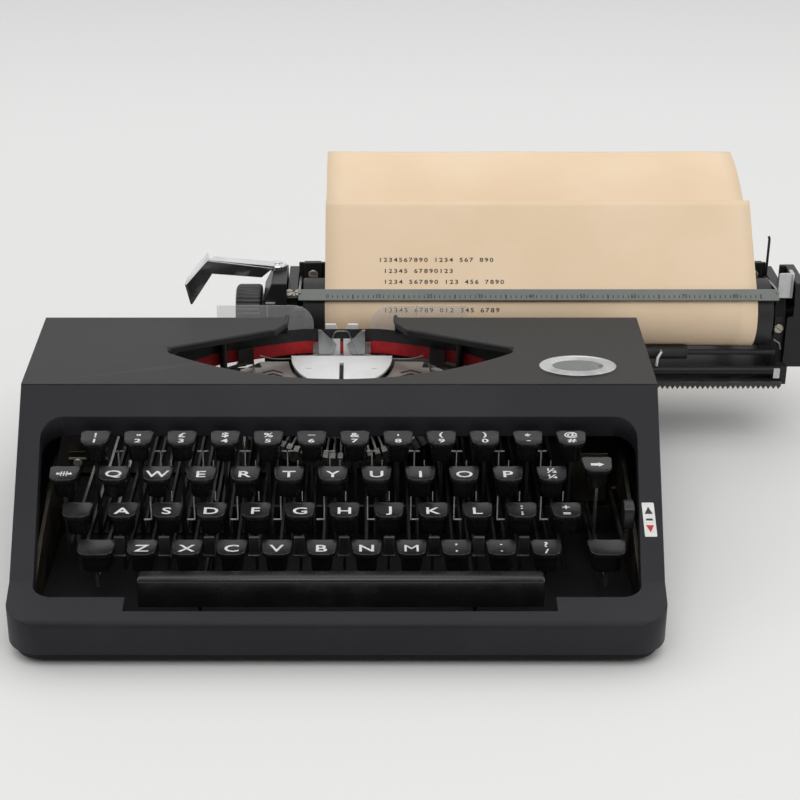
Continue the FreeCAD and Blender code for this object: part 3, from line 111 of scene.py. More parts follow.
def makeEdgeWear(effect):
    group, given, result = newGroup(
        "edgeWear", [("Amount", "NodeSocketFloat", 1.0), ("Patches", "NodeSocketFloat", 90.0)],
        [("Mask", "NodeSocketFloat")])
    rounded = group.nodes.new("ShaderNodeBevel")
    rounded.samples = effect["samples"]
    rounded.inputs["Radius"].default_value = effect["radius"]
    geometry = group.nodes.new("ShaderNodeNewGeometry")
    dot = group.nodes.new("ShaderNodeVectorMath")
    dot.operation = "DOT_PRODUCT"
    group.links.new(rounded.outputs["Normal"], dot.inputs[0])
    group.links.new(geometry.outputs["Normal"], dot.inputs[1])
    bend = mathNode(group, "SUBTRACT", 1.0, dot.outputs["Value"])  # grows where a corner turns
    broken = noiseNode(group, given.outputs["Patches"], 4.0, 0.65)
    patches = rampNode(group, broken, *effect["patches"])
    edge = rampNode(group, bend, *effect["bend"])
    worn = mathNode(group, "MULTIPLY", edge, patches)
    mask = mathNode(group, "MULTIPLY", worn, given.outputs["Amount"], True)
    group.links.new(mask, result.inputs["Mask"])
    return group


grainEffect = {"fineScale": 1.7, "fineShare": 0.6}


def makeGrain(effect):
    group, given, result = newGroup("mouldedGrain", [("Scale", "NodeSocketFloat", 1500.0)],
                                    [("Height", "NodeSocketFloat")])
    coords = group.nodes.new("ShaderNodeTexCoord").outputs["Object"]
    cells = group.nodes.new("ShaderNodeTexVoronoi")
    cells.feature = "SMOOTH_F1"
    group.links.new(coords, cells.inputs["Vector"])
    group.links.new(given.outputs["Scale"], cells.inputs["Scale"])
    finer = mathNode(group, "MULTIPLY", given.outputs["Scale"], effect["fineScale"])
    fine = mathNode(group, "MULTIPLY", noiseNode(group, finer, 2.0, 0.6), effect["fineShare"])
    height = mathNode(group, "ADD", cells.outputs["Distance"], fine)
    group.links.new(height, result.inputs["Height"])
    return group


smudgeEffect = {"broad": (0.35, 0.75), "upward": (0.45, 0.98), "speckScale": 900.0, "specks": (0.60, 0.80)}


def makeSmudge(effect):
    group, given, result = newGroup("handledSmudge", [("Scale", "NodeSocketFloat", 22.0)],
                                    [("Mask", "NodeSocketFloat"), ("Dust", "NodeSocketFloat")])
    broad = rampNode(group, noiseNode(group, given.outputs["Scale"], 5.0, 0.6), *effect["broad"])
    geometry = group.nodes.new("ShaderNodeNewGeometry")
    split = group.nodes.new("ShaderNodeSeparateXYZ")
    group.links.new(geometry.outputs["Normal"], split.inputs[0])
    upward = rampNode(group, split.outputs["Z"], *effect["upward"])  # dust lies on level faces
    specks = rampNode(group, noiseNode(group, effect["speckScale"], 2.0, 0.7), *effect["specks"])
    group.links.new(broad, result.inputs["Mask"])
    group.links.new(mathNode(group, "MULTIPLY", upward, specks), result.inputs["Dust"])
    return group


brushEffect = {"lineScale": 500.0, "toneScale": 60.0, "tone": (0.3, 0.75)}


def makeBrushing(effect):
    group, given, result = newGroup("brushedLines", [("Along", "NodeSocketVector", (1.0, 1.0, 1.0))],
                                    [("Height", "NodeSocketFloat"), ("Tone", "NodeSocketFloat")])
    coords = group.nodes.new("ShaderNodeTexCoord").outputs["Object"]
    stretch = group.nodes.new("ShaderNodeVectorMath")
    stretch.operation = "MULTIPLY"
    group.links.new(coords, stretch.inputs[0])
    group.links.new(given.outputs["Along"], stretch.inputs[1])
    lines = noiseNode(group, effect["lineScale"], 3.0, 0.7, stretch.outputs[0])
    group.links.new(lines, result.inputs["Height"])
    tone = rampNode(group, noiseNode(group, effect["toneScale"], 4.0, 0.6), *effect["tone"])
    group.links.new(tone, result.inputs["Tone"])
    return group


edgeWear = makeEdgeWear(wearEffect)
mouldedGrain = makeGrain(grainEffect)
handledSmudge = makeSmudge(smudgeEffect)
brushedLines = makeBrushing(brushEffect)


# Materials

def newMaterial(name):
    material = bpy.data.materials.new(name)
    material.use_nodes = True
    tree = material.node_tree
    return material, tree, tree.nodes["Principled BSDF"]


def placeGroup(tree, group, **values):
    node = tree.nodes.new("ShaderNodeGroup")
    node.node_tree = group
    for label, value in values.items():
        node.inputs[label].default_value = value
    return node


def mixColour(tree, share, first, second):
    node = tree.nodes.new("ShaderNodeMix")
    node.data_type = "RGBA"
    colours = [socket for socket in node.inputs if socket.type == "RGBA"]
    factor = next(socket for socket in node.inputs if socket.name == "Factor")
    tree.links.new(share, factor)
    for socket, value in zip(colours, (first, second)):
        if isinstance(value, tuple):
            socket.default_value = (*value, 1.0)
        else:
            tree.links.new(value, socket)
    return next(socket for socket in node.outputs if socket.type == "RGBA")


def bumpNormal(tree, shader, height, distance, strength=1.0, radius=0.0):
    bump = tree.nodes.new("ShaderNodeBump")
    bump.inputs["Strength"].default_value = strength
    bump.inputs["Distance"].default_value = distance
    tree.links.new(height, bump.inputs["Height"])
    if radius:
        rounded = tree.nodes.new("ShaderNodeBevel")
        rounded.samples = 4
        rounded.inputs["Radius"].default_value = radius
        tree.links.new(rounded.outputs["Normal"], bump.inputs["Normal"])
    tree.links.new(bump.outputs["Normal"], shader.inputs["Normal"])


dustColour = (0.30, 0.29, 0.27)


def plasticMaterial(name, look):
    material, tree, shader = newMaterial(name)
    wear = placeGroup(tree, edgeWear, Amount=look["wear"], Patches=look["patches"])
    grain = placeGroup(tree, mouldedGrain, Scale=look["grainScale"])
    smudge = placeGroup(tree, handledSmudge, Scale=look["smudgeScale"])
    colour = mixColour(tree, smudge.outputs["Mask"], look["dark"], look["light"])
    colour = mixColour(tree, wear.outputs["Mask"], colour, look["worn"])
    dusty = mathNode(tree, "MULTIPLY", smudge.outputs["Dust"], look["dust"])
    tree.links.new(mixColour(tree, dusty, colour, dustColour), shader.inputs["Base Color"])
    rough = scaledAndRaised(tree, smudge.outputs["Mask"], look["roughSpread"], look["rough"])
    smooth = mathNode(tree, "MULTIPLY", wear.outputs["Mask"], look["polish"])
    tree.links.new(mathNode(tree, "SUBTRACT", rough, smooth, True), shader.inputs["Roughness"])
    shader.inputs["Specular IOR Level"].default_value = look["gloss"]
    bumpNormal(tree, shader, grain.outputs["Height"], look["grainDepth"], 1.0, look["edgeRadius"])
    return material


metalPatches = 140.0


def metalMaterial(name, look):
    material, tree, shader = newMaterial(name)
    wear = placeGroup(tree, edgeWear, Amount=look["wear"], Patches=metalPatches)
    brush = placeGroup(tree, brushedLines, Along=look["along"])
    colour = mixColour(tree, brush.outputs["Tone"], look["dark"], look["light"])
    worn = mixColour(tree, wear.outputs["Mask"], colour, look["worn"])
    tree.links.new(worn, shader.inputs["Base Color"])
    rough = scaledAndRaised(tree, brush.outputs["Tone"], look["roughSpread"], look["rough"])
    tree.links.new(rough, shader.inputs["Roughness"])
    shader.inputs["Metallic"].default_value = look["metallic"]
    bumpNormal(tree, shader, brush.outputs["Height"], look["depth"], 1.0, look["edgeRadius"])
    return material


# Plastics, paints and rubbers. A colour wanders from dark to light, and worn shows at edges.
# Front housing: its own dark plastic, with its dark and light colours set darker than the cover's same
# plastic as painted shade.
housingLook = {
    "dark": (0.0125, 0.013, 0.0165), "light": (0.021, 0.0215, 0.026), "worn": (0.075, 0.076, 0.080),
    "wear": 0.55, "patches": 60.0, "grainScale": 1500.0, "grainDepth": 0.00006, "smudgeScale": 14.0,
    "dust": 0.06, "rough": 0.46, "roughSpread": 0.10, "polish": 0.12, "gloss": 0.26,
    "edgeRadius": 0.7 * mm,
}
keyLook = {
    "dark": (0.010, 0.010, 0.011), "light": (0.016, 0.016, 0.017), "worn": (0.05, 0.05, 0.052),
    "wear": 0.5, "patches": 130.0, "grainScale": 2600.0, "grainDepth": 0.000012, "smudgeScale": 70.0,
    "dust": 0.10, "rough": 0.20, "roughSpread": 0.16, "polish": 0.05, "gloss": 0.6, "edgeRadius": 0.0,
}
carriageLook = {
    **housingLook, "dark": (0.014, 0.014, 0.015), "light": (0.024, 0.024, 0.026),
    "worn": (0.20, 0.19, 0.18), "wear": 0.5, "patches": 150.0, "grainScale": 2200.0,
    "grainDepth": 0.00002, "rough": 0.34, "edgeRadius": 0.35 * mm, "dust": 0.22,
}
# Painted shade: the front housing is made darker than the cover of the same plastic.
housingPaintedShadePlastic = plasticMaterial("housingPaintedShadePlastic", housingLook)
coverPlastic = plasticMaterial("coverPlastic", {
    **housingLook, "dark": (0.030, 0.030, 0.030), "light": (0.039, 0.039, 0.039)})
panPlastic = plasticMaterial("panPlastic", {
    **housingLook, "dark": (0.007, 0.007, 0.008), "light": (0.012, 0.012, 0.013), "wear": 0.3,
    "rough": 0.55})
footRubber = plasticMaterial("footRubber", {
    **housingLook, "dark": (0.012, 0.012, 0.012), "light": (0.022, 0.022, 0.021), "wear": 0.2,
    "rough": 0.7, "gloss": 0.3, "grainScale": 900.0})
keyPlastic = plasticMaterial("keyPlastic", keyLook)
knobPlastic = plasticMaterial("knobPlastic", {**keyLook, "rough": 0.34, "edgeRadius": 0.3 * mm})
carriagePaint = plasticMaterial("carriagePaint", carriageLook)
platenRubber = plasticMaterial("platenRubber", {
    **carriageLook, "dark": (0.017, 0.017, 0.018), "light": (0.026, 0.026, 0.027), "wear": 0.0,
    "rough": 0.46, "gloss": 0.4, "edgeRadius": 0.0})
scaleGrey = plasticMaterial("scaleGrey", {
    **carriageLook, "dark": (0.185, 0.195, 0.187), "light": (0.225, 0.232, 0.222),
    "worn": (0.42, 0.42, 0.40), "rough": 0.36, "dust": 0.05, "grainDepth": 0.00001})

# Metals
metalLook = {
    "dark": (0.30, 0.29, 0.27), "light": (0.46, 0.45, 0.43), "worn": (0.70, 0.69, 0.67), "wear": 0.7,
    "along": (1.0, 14.0, 14.0), "rough": 0.26, "roughSpread": 0.22, "metallic": 1.0,
    "depth": 0.000012, "edgeRadius": 0.15 * mm,
}
leverSteel = metalMaterial("leverSteel", {
    **metalLook, "dark": (0.20, 0.19, 0.175), "light": (0.36, 0.35, 0.33)})
typeSteel = metalMaterial("typeSteel", {
    **metalLook, "dark": (0.50, 0.49, 0.47), "light": (0.68, 0.67, 0.65), "rough": 0.20})
platedSteel = metalMaterial("platedSteel", {
    **metalLook, "dark": (0.060, 0.053, 0.040), "light": (0.115, 0.10, 0.078),
    "worn": (0.30, 0.27, 0.22), "rough": 0.36})
agedPlate = metalMaterial("agedPlate", {
    **metalLook, "dark": (0.40, 0.375, 0.345), "light": (0.56, 0.53, 0.49), "metallic": 0.65,
    "rough": 0.42, "roughSpread": 0.15})
brightChrome = metalMaterial("brightChrome", {
    **metalLook, "dark": (0.70, 0.71, 0.72), "light": (0.80, 0.81, 0.82), "worn": (0.86, 0.86, 0.86),
    "rough": 0.07, "roughSpread": 0.10, "depth": 0.000003})
# Painted light: a near-white colour with no metal, raised to make up for the shade that the type guide,
# shield, tongue and lever stems sit in.
satinPlatePaintedLight = metalMaterial("satinPlatePaintedLight", {
    **metalLook, "dark": (0.86, 0.865, 0.86), "light": (0.94, 0.945, 0.94), "metallic": 0.0,
    "rough": 0.30, "roughSpread": 0.16, "depth": 0.000006})
scratchedSilver = metalMaterial("scratchedSilver", {
    **metalLook, "dark": (0.42, 0.43, 0.43), "light": (0.70, 0.71, 0.71), "worn": (0.85, 0.85, 0.84),
    "rough": 0.24, "roughSpread": 0.30, "metallic": 0.9})
agedScrew = metalMaterial("agedScrew", {
    **metalLook, "dark": (0.40, 0.37, 0.31), "light": (0.58, 0.55, 0.48), "worn": (0.70, 0.68, 0.62),
    "rough": 0.34, "metallic": 0.75})
shadedSteel = metalMaterial("shadedSteel", {
    **metalLook, "dark": (0.020, 0.0195, 0.019), "light": (0.042, 0.041, 0.039),
    "worn": (0.11, 0.105, 0.10), "rough": 0.42, "metallic": 0.7})
blackedSteel = metalMaterial("blackedSteel", {
    **metalLook, "dark": (0.045, 0.044, 0.042), "light": (0.085, 0.083, 0.08),
    "worn": (0.32, 0.31, 0.29), "rough": 0.34, "metallic": 0.8})

clearLook = {"clean": (0.90, 0.91, 0.92), "handled": (0.80, 0.80, 0.79), "smudgeScale": 60.0,
             "rough": 0.05, "roughSpread": 0.10, "alpha": 0.24, "dustAlpha": 0.25, "bending": 1.49}


def makeClearPlastic(look):
    material, tree, shader = newMaterial("clearPlastic")
    smudge = placeGroup(tree, handledSmudge, Scale=look["smudgeScale"])
    colour = mixColour(tree, smudge.outputs["Mask"], look["clean"], look["handled"])
    tree.links.new(colour, shader.inputs["Base Color"])
    rough = scaledAndRaised(tree, smudge.outputs["Mask"], look["roughSpread"], look["rough"])
    tree.links.new(rough, shader.inputs["Roughness"])
    clear = scaledAndRaised(tree, smudge.outputs["Dust"], look["dustAlpha"], look["alpha"])
    tree.links.new(clear, shader.inputs["Alpha"])
    shader.inputs["IOR"].default_value = look["bending"]
    return material


clothLook = {"redDark": (0.50, 0.005, 0.009), "redLight": (0.64, 0.014, 0.022),
             "blackDark": (0.010, 0.010, 0.012), "blackLight": (0.022, 0.022, 0.026),
             "blend": 0.15 * mm, "blotScale": 220.0, "blots": (0.3, 0.7), "threadScale": 900.0,
             "threadDepth": 0.00004, "threadStrength": 0.6, "rough": 0.62, "sheen": 0.15}


def makeRibbonCloth(look, low, high):
    material, tree, shader = newMaterial("inkedRibbon")
    coords = tree.nodes.new("ShaderNodeTexCoord").outputs["Object"]
    split = tree.nodes.new("ShaderNodeSeparateXYZ")
    tree.links.new(coords, split.inputs[0])
    middle = (low + high) / 2  # red below, black above
    upper = rampNode(tree, split.outputs["Z"], middle - look["blend"], middle + look["blend"])
    blots = rampNode(tree, noiseNode(tree, look["blotScale"], 4.0, 0.6), *look["blots"])
    red = mixColour(tree, blots, look["redDark"], look["redLight"])
    black = mixColour(tree, blots, look["blackDark"], look["blackLight"])
    tree.links.new(mixColour(tree, upper, red, black), shader.inputs["Base Color"])
    threads = tree.nodes.new("ShaderNodeTexWave")
    threads.bands_direction = "DIAGONAL"
    threads.inputs["Scale"].default_value = look["threadScale"]
    tree.links.new(coords, threads.inputs["Vector"])
    shader.inputs["Roughness"].default_value = look["rough"]
    shader.inputs["Sheen Weight"].default_value = look["sheen"]
    bumpNormal(tree, shader, threads.outputs["Fac"], look["threadDepth"], look["threadStrength"])
    return material


paperLook = {"dark": (0.880, 0.675, 0.465), "light": (0.920, 0.725, 0.520), "fleck": (0.62, 0.45, 0.29),
             "cloudScale": 24.0, "clouds": (0.25, 0.8), "fibreScale": 900.0, "fibreDepth": 0.00003,
             "fibreStrength": 0.5, "fleckScale": 1600.0, "flecks": (0.66, 0.80), "fleckShare": 0.22,
             "rough": 0.88, "gloss": 0.2}


def makePaper(look):
    material, tree, shader = newMaterial("buffPaper")
    fibres = noiseNode(tree, look["fibreScale"], 6.0, 0.75)
    clouds = rampNode(tree, noiseNode(tree, look["cloudScale"], 4.0, 0.5), *look["clouds"])
    colour = mixColour(tree, clouds, look["dark"], look["light"])
    flecks = rampNode(tree, noiseNode(tree, look["fleckScale"], 2.0, 0.7), *look["flecks"])
    share = mathNode(tree, "MULTIPLY", flecks, look["fleckShare"])
    tree.links.new(mixColour(tree, share, colour, look["fleck"]), shader.inputs["Base Color"])
    shader.inputs["Roughness"].default_value = look["rough"]
    shader.inputs["Specular IOR Level"].default_value = look["gloss"]
    bumpNormal(tree, shader, fibres, look["fibreDepth"], look["fibreStrength"])
    return material


inkEffect = {"scale": 500.0, "patches": (0.25, 0.7), "rough": 0.5}


def makeInk(name, colour, worn, rough=inkEffect["rough"]):
    material, tree, shader = newMaterial(name)
    patches = rampNode(tree, noiseNode(tree, inkEffect["scale"], 3.0, 0.6), *inkEffect["patches"])
    tree.links.new(mixColour(tree, patches, worn, colour), shader.inputs["Base Color"])
    shader.inputs["Roughness"].default_value = rough
    return material


clearPlastic = makeClearPlastic(clearLook)
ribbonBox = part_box("ribbon")
inkedRibbon = makeRibbonCloth(clothLook, ribbonBox[0].z, ribbonBox[1].z)
buffPaper = makePaper(paperLook)
whiteInk = makeInk("whiteInk", (0.82, 0.82, 0.80), (0.62, 0.62, 0.60))
blackInk = makeInk("blackInk", (0.012, 0.012, 0.012), (0.03, 0.03, 0.03))
typedInk = makeInk("typedInk", (0.030, 0.028, 0.030), (0.075, 0.065, 0.06), 0.8)
redInk = makeInk("redInk", (0.55, 0.015, 0.015), (0.42, 0.02, 0.02))
labelWhite = makeInk("labelWhite", (0.80, 0.80, 0.78), (0.70, 0.70, 0.67))
print("finishes made:", len(bpy.data.materials))


# Modelling helpers. Pieces are drawn in millimetres and scaled once, when they are finished.

welding = {"doubles": 0.0004, "nodes": 0.002}  # millimetres


def finishPiece(bm, name, material, body, bevel=0.0, sharp=32.0, replaced=()):
    bmesh.ops.remove_doubles(bm, verts=bm.verts, dist=welding["doubles"])
    bmesh.ops.recalc_face_normals(bm, faces=bm.faces)
    bm.transform(Matrix.Scale(mm, 4))
    mesh = bpy.data.meshes.new(name)
    bm.to_mesh(mesh)
    bm.free()
    mesh.polygons.foreach_set("use_smooth", [True] * len(mesh.polygons))
    mesh.set_sharp_from_angle(angle=math.radians(sharp))
    mesh.materials.append(material)
    piece = bpy.data.objects.new(name, mesh)
    scene.collection.objects.link(piece)
    if bevel:
        addBevel(piece, bevel)
    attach(piece, body)
    if replaced:
        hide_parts(*replaced)
    return piece


def addBevel(piece, width, angle=32.0):
    edge = piece.modifiers.new("edges", "BEVEL")
    edge.width = width * mm
    edge.segments = 2
    edge.limit_method = "ANGLE"
    edge.angle_limit = math.radians(angle)
    edge.harden_normals = True
    edge.miter_outer = "MITER_ARC"


def dressNode(name, material, bevel):
    node = cadNodes[name]
    node.data.materials.clear()
    node.data.materials.append(material)
    if bevel:
        weld = node.modifiers.new("joined", "WELD")
        weld.merge_threshold = welding["nodes"] * mm
        addBevel(node, bevel, 40.0)


def addRings(bm, rings):
    made = [[bm.verts.new(point) for point in ring] for ring in rings]
    count = len(made[0])
    for first, second in zip(made, made[1:]):
        for index in range(count):
            after = (index + 1) % count
            bm.faces.new((first[index], first[after], second[after], second[index]))
    bm.faces.new(list(reversed(made[0])))
    bm.faces.new(made[-1])


def addPrism(bm, outline, low, high, place=None):
    place = place or Matrix.Identity(4)
    rings = [[bm.verts.new(place @ Vector((x, y, level))) for x, y in outline] for level in (low, high)]
    count = len(outline)
    bm.faces.new(list(reversed(rings[0])))
    bm.faces.new(rings[1])
    for index in range(count):
        after = (index + 1) % count
        bm.faces.new((rings[0][index], rings[0][after], rings[1][after], rings[1][index]))


def addLathe(bm, profile, place, sides=48, ribs=0, ribDepth=0.0):
    rings = []
    for radius, along in profile:
        ring = []
        for index in range(sides):
            angle = 2 * math.pi * index / sides
            ribbed = ribs and radius > ribDepth * 4
            cut = ribDepth * max(0.0, math.cos(angle * ribs)) if ribbed else 0.0
            reach = radius - cut
            ring.append(place @ Vector((reach * math.cos(angle), reach * math.sin(angle), along)))
        rings.append(ring)
    addRings(bm, rings)


def addBox(bm, x0, x1, y0, y1, z0, z1, place=None):
    addPrism(bm, [(x0, y0), (x1, y0), (x1, y1), (x0, y1)], z0, z1, place)


def addTube(bm, path, radius, sides=10):
    points = [Vector(point) for point in path]
    rings = []
    across = None
    for index, point in enumerate(points):
        before = points[max(index - 1, 0)]
        after = points[min(index + 1, len(points) - 1)]
        along = (after - before).normalized()
        if across is None:
            across = along.orthogonal().normalized()
        across = (across - along * across.dot(along)).normalized()
        other = along.cross(across)
        angles = [2 * math.pi * side / sides for side in range(sides)]
        rings.append([point + (across * math.cos(turn) + other * math.sin(turn)) * radius
                      for turn in angles])
    addRings(bm, rings)


def smoothPath(points, steps=6):
    ends = [Vector(p) for p in points]
    ends = [ends[0] * 2 - ends[1]] + ends + [ends[-1] * 2 - ends[-2]]
    path = []
    for a, b, c, d in zip(ends, ends[1:], ends[2:], ends[3:]):
        for step in range(steps):
            t = step / steps
            square, cube = a * 2 - b * 5 + c * 4 - d, b * 3 - a - c * 3 + d
            path.append(((b * 2) + (c - a) * t + square * t ** 2 + cube * t ** 3) / 2)
    return path + [ends[-2]]


def roundedOutline(width, length, corner, steps=5):
    points = []
    for sx, sy, start in ((1, -1, -90), (1, 1, 0), (-1, 1, 90), (-1, -1, 180)):
        for step in range(steps + 1):
            angle = math.radians(start + 90 * step / steps)
            points.append((sx * (width / 2 - corner) + corner * math.cos(angle),
                           sy * (length / 2 - corner) + corner * math.sin(angle)))
    return points


def ovalPoints(a, b, level, place, count=72):
    angles = [math.tau * index / count for index in range(count)]
    return [place @ Vector((a * math.cos(turn), b * math.sin(turn), level)) for turn in angles]


def sideways(x):
    # An outline of (depth, height) pairs, drawn on the plane x.
    return Matrix(((0, 0, 1, x), (1, 0, 0, 0), (0, 1, 0, 0), (0, 0, 0, 1)))


def upright(x, depth, height=0.0):
    # An outline of (x, height) pairs, whose thickness runs towards the front.
    return Matrix(((1, 0, 0, x), (0, 0, -1, depth), (0, 1, 0, height), (0, 0, 0, 1)))


def placeAt(origin, normal):
    zAxis = Vector(normal).normalized()
    along = Vector((1, 0, 0))
    xAxis = (along - zAxis * zAxis.dot(along)).normalized()
    turn = Matrix((xAxis, zAxis.cross(xAxis), zAxis)).transposed().to_4x4()
    return Matrix.Translation(Vector(origin)) @ turn


screwShape = {"slotShare": 0.13, "rimShare": 0.12, "floorShare": 0.35, "floorRadius": 0.98}


def addScrew(bm, origin, normal, radius, height, slotAngle=35.0):
    place = placeAt(origin, normal) @ Matrix.Rotation(math.radians(slotAngle), 4, "Z")
    slotHalf = radius * screwShape["slotShare"]
    rim = radius * screwShape["rimShare"]
    limit = math.asin(slotHalf / radius)
    for side in (-1, 1):
        half = []
        for step in range(17):
            angle = limit + (math.pi - 2 * limit) * step / 16
            half.append((radius * math.cos(angle), side * radius * math.sin(angle)))
        shrink = 1 - rim / radius
        inner = [(x * shrink, y * shrink if abs(y) > slotHalf * 1.01 else y) for x, y in half]
        if side < 0:
            half, inner = half[::-1], inner[::-1]
        levels = ((half, 0.0), (half, height - rim), (inner, height))
        addRings(bm, [[place @ Vector((x, y, level)) for x, y in ring] for ring, level in levels])
    bottom = radius * screwShape["floorRadius"]
    addLathe(bm, [(bottom, 0.0), (bottom, height * screwShape["floorShare"])], place, 24)


def makeText(body, size, width=1.0, weight=0.0):
    curve = bpy.data.curves.new("lettering", "FONT")
    curve.body = body
    curve.size = size
    curve.offset = weight
    curve.align_x = "CENTER"
    curve.align_y = "CENTER"
    curve.extrude = 0.02
    curve.resolution_u = 3
    holder = bpy.data.objects.new("lettering", curve)
    mesh = bpy.data.meshes.new_from_object(holder)
    points = [Vector(vertex.co) for vertex in mesh.vertices]
    faces = [tuple(polygon.vertices) for polygon in mesh.polygons]
    bpy.data.objects.remove(holder)
    bpy.data.meshes.remove(mesh)
    bpy.data.curves.remove(curve)
    middle = (max(p.x for p in points) + min(p.x for p in points)) / 2
    level = (max(p.y for p in points) + min(p.y for p in points)) / 2
    return [Vector(((p.x - middle) * width, p.y - level, p.z)) for p in points], faces


def addFaces(bm, points, faces, place):
    made = [bm.verts.new(place @ point) for point in points]
    for face in faces:
        if len(set(face)) > 2:
            bm.faces.new([made[index] for index in face])


# Carried-over nodes: the finish and the rounding of the edges in millimetres

dressing = {
    "front_housing": (housingPaintedShadePlastic, 0.9), "ribbon_cover": (coverPlastic, 0.7),
    "base_pan": (panPlastic, 0.5), "rubber_feet": (footRubber, 0.6), "side_frames": (platedSteel, 0.0),
    "key_comb": (shadedSteel, 0.0), "key_pivot_rod": (shadedSteel, 0.0), "segment": (blackedSteel, 0.0),
    "segment_plates": (agedPlate, 0.2), "type_bar_rest": (blackedSteel, 0.0),
    "type_bars": (typeSteel, 0.0), "h_type_bar": (typeSteel, 0.0), "spool_shelves": (blackedSteel, 0.0),
    "type_guide": (satinPlatePaintedLight, 0.15), "shield_plate": (satinPlatePaintedLight, 0.15),
    "number_row_levers": (shadedSteel, 0.0), "upper_row_levers": (shadedSteel, 0.0),
    "home_row_levers": (shadedSteel, 0.0), "lower_row_levers": (shadedSteel, 0.0),
    "h_key_lever": (shadedSteel, 0.0), "space_bar_arms": (shadedSteel, 0.0),
    "ribbon_vibrator": (scratchedSilver, 0.0), "universal_bar": (shadedSteel, 0.0),
    "escapement_wheel": (typeSteel, 0.0), "mainspring_drum": (platedSteel, 0.3),
    "rear_cross_frame": (blackedSteel, 0.2), "rear_rail": (typeSteel, 0.2),
    "carriage_frame": (carriagePaint, 0.3), "escapement_rack": (blackedSteel, 0.0),
    "left_margin_stop": (carriagePaint, 0.3), "right_margin_stop": (carriagePaint, 0.3),
    "platen_end_plates": (carriagePaint, 0.3), "end_covers": (carriagePaint, 0.9),
    "paper_table": (carriagePaint, 0.3), "platen": (platenRubber, 0.6), "platen_shaft": (leverSteel, 0.2),
    "front_feed_roller": (platenRubber, 0.3), "rear_feed_roller": (platenRubber, 0.3),
}
for nodeName, (finish, rounding) in dressing.items():
    dressNode(nodeName, finish, rounding)
print("carried nodes dressed:", len(dressing))


# Keys

keyShape = {"width": 13.2, "length": 11.5, "frontShare": 0.93, "corner": 4.2, "backCorner": 1.3,
            "dish": 0.55, "rim": 0.35, "lip": 2.3, "tall": 10.5, "skirtInset": 1.45, "skirtTaper": 0.6,
            "tilt": 4.0}
keyGrid = {"pitch": 19.05, "depth": 90.5, "height": 60.0, "step": 14.93, "drop": 9.93}
numberPairs = [("!", "1"), ("\"", "2"), ("£", "3"), ("$", "4"), ("%", "5"), ("_", "6"), ("&", "7"),
               ("'", "8"), ("(", "9"), (")", "0"), ("*", "-"), ("@", "#")]
keyRows = [  # name, row from the back, legends
    ("number_row", 0, numberPairs),
    ("upper_row", 1, list("QWERTYUIOP") + [("½", "¼")]),
    ("home_row", 2, list("ASDFGHJKL") + [(":", ";"), ("+", "=")]),
    ("lower_row", 3, list("ZXCVBNM") + [(",", ","), (".", "."), ("?", "/")]),
]
legendLook = {"letterSize": 7.2, "letterWidth": 1.32, "letterWeight": 0.1, "pairSize": 4.7,
              "pairWidth": 1.3, "pairUp": 2.45, "pairDown": -2.45, "standOff": 0.03, "nearness": -0.4}


def capOutline(width, shape):
    # The left half runs from the back edge round to the front edge; the right half mirrors it.
    half, back, front = width / 2, shape["length"] / 2, -shape["length"] / 2
    side = half * shape["frontShare"]
    corner, small = shape["corner"], shape["backCorner"]
    points = []
    for index in range(7):
        points.append((-half + small + (width - 2 * small) * (1 - index / 6), back))
    for index in range(1, 5):
        angle = math.radians(90 + 90 * index / 5)
        points.append((-half + small + small * math.cos(angle), back - small + small * math.sin(angle)))
    for index in range(6):
        share = index / 5
        run = front + corner - back + small
        points.append((-half + (half - side) * share, back - small + run * share))
    for index in range(1, 9):
        angle = math.radians(180 + 90 * index / 9)
        points.append((-side + corner + corner * math.cos(angle), front + corner + corner * math.sin(angle)))
    middle = len(points)
    for index in range(5):
        points.append((-side + corner + (2 * side - 2 * corner) * index / 4, front))
    for x, y in reversed(points[7:middle]):
        points.append((-x, y))
    return points


def dishAt(x, y, width, shape):
    reach = (x / (width / 2)) ** 2 + (y / (shape["length"] / 2)) ** 2
    return -shape["dish"] * max(0.0, 1 - reach * 0.75)


def addCap(bm, place, width, shape):
    outline = capOutline(width, shape)
    rim, lip, tall, taper = shape["rim"], shape["lip"], shape["tall"], shape["skirtTaper"]
    rings = []
    for share in (0.12, 0.3, 0.5, 0.7, 0.85, 0.94):  # the dished top
        rings.append([(x * share, y * share, dishAt(x * share, y * share, width, shape))
                      for x, y in outline])
    edge = [(0.965, 0.0), (0.99, -0.35 * rim), (1.0, -rim), (1.0, -rim * 2.2), (0.985, -lip + 0.25),
            (0.965, -lip)]
    for share, level in edge:
        sag = 1 if share > 0.98 else 0.9
        rings.append([(x * share, y * share, level + dishAt(x, y, width, shape) * sag)
                      for x, y in outline])
    skirt = [(-lip - 0.2, 0.0), (-lip - 0.9, 0.15), (-tall + 0.3, taper), (-tall, taper + 0.3)]
    for level, extra in skirt:
        inset = shape["skirtInset"] + extra
        narrow, short = 1 - inset * 2 / width, 1 - inset * 2 / shape["length"]
        rings.append([(x * narrow, y * short, level) for x, y in outline])
    addRings(bm, [[place @ Vector(point) for point in ring] for ring in rings])


def keySpot(row, rise=0.0):
    return keyGrid["depth"] - row * keyGrid["step"], keyGrid["height"] - row * keyGrid["drop"] + rise


def capPlace(x, depth, height, shape):
    tilt = Matrix.Rotation(math.radians(shape["tilt"]), 4, "X")
    return Matrix.Translation((x, depth, height)) @ tilt


def addLegend(bm, place, text, y, size, width, look, shape):
    weight = 0.0 if text == "M" else look["letterWeight"]  # the M closes up when it is made bolder
    points, faces = makeText(text, size, width, weight)
    lifted = []
    for p in points:
        dish = dishAt(p.x, p.y + y, shape["width"], shape)
        lifted.append(Vector((p.x, p.y + y, p.z + look["standOff"] + dish)))
    addFaces(bm, lifted, faces, place)


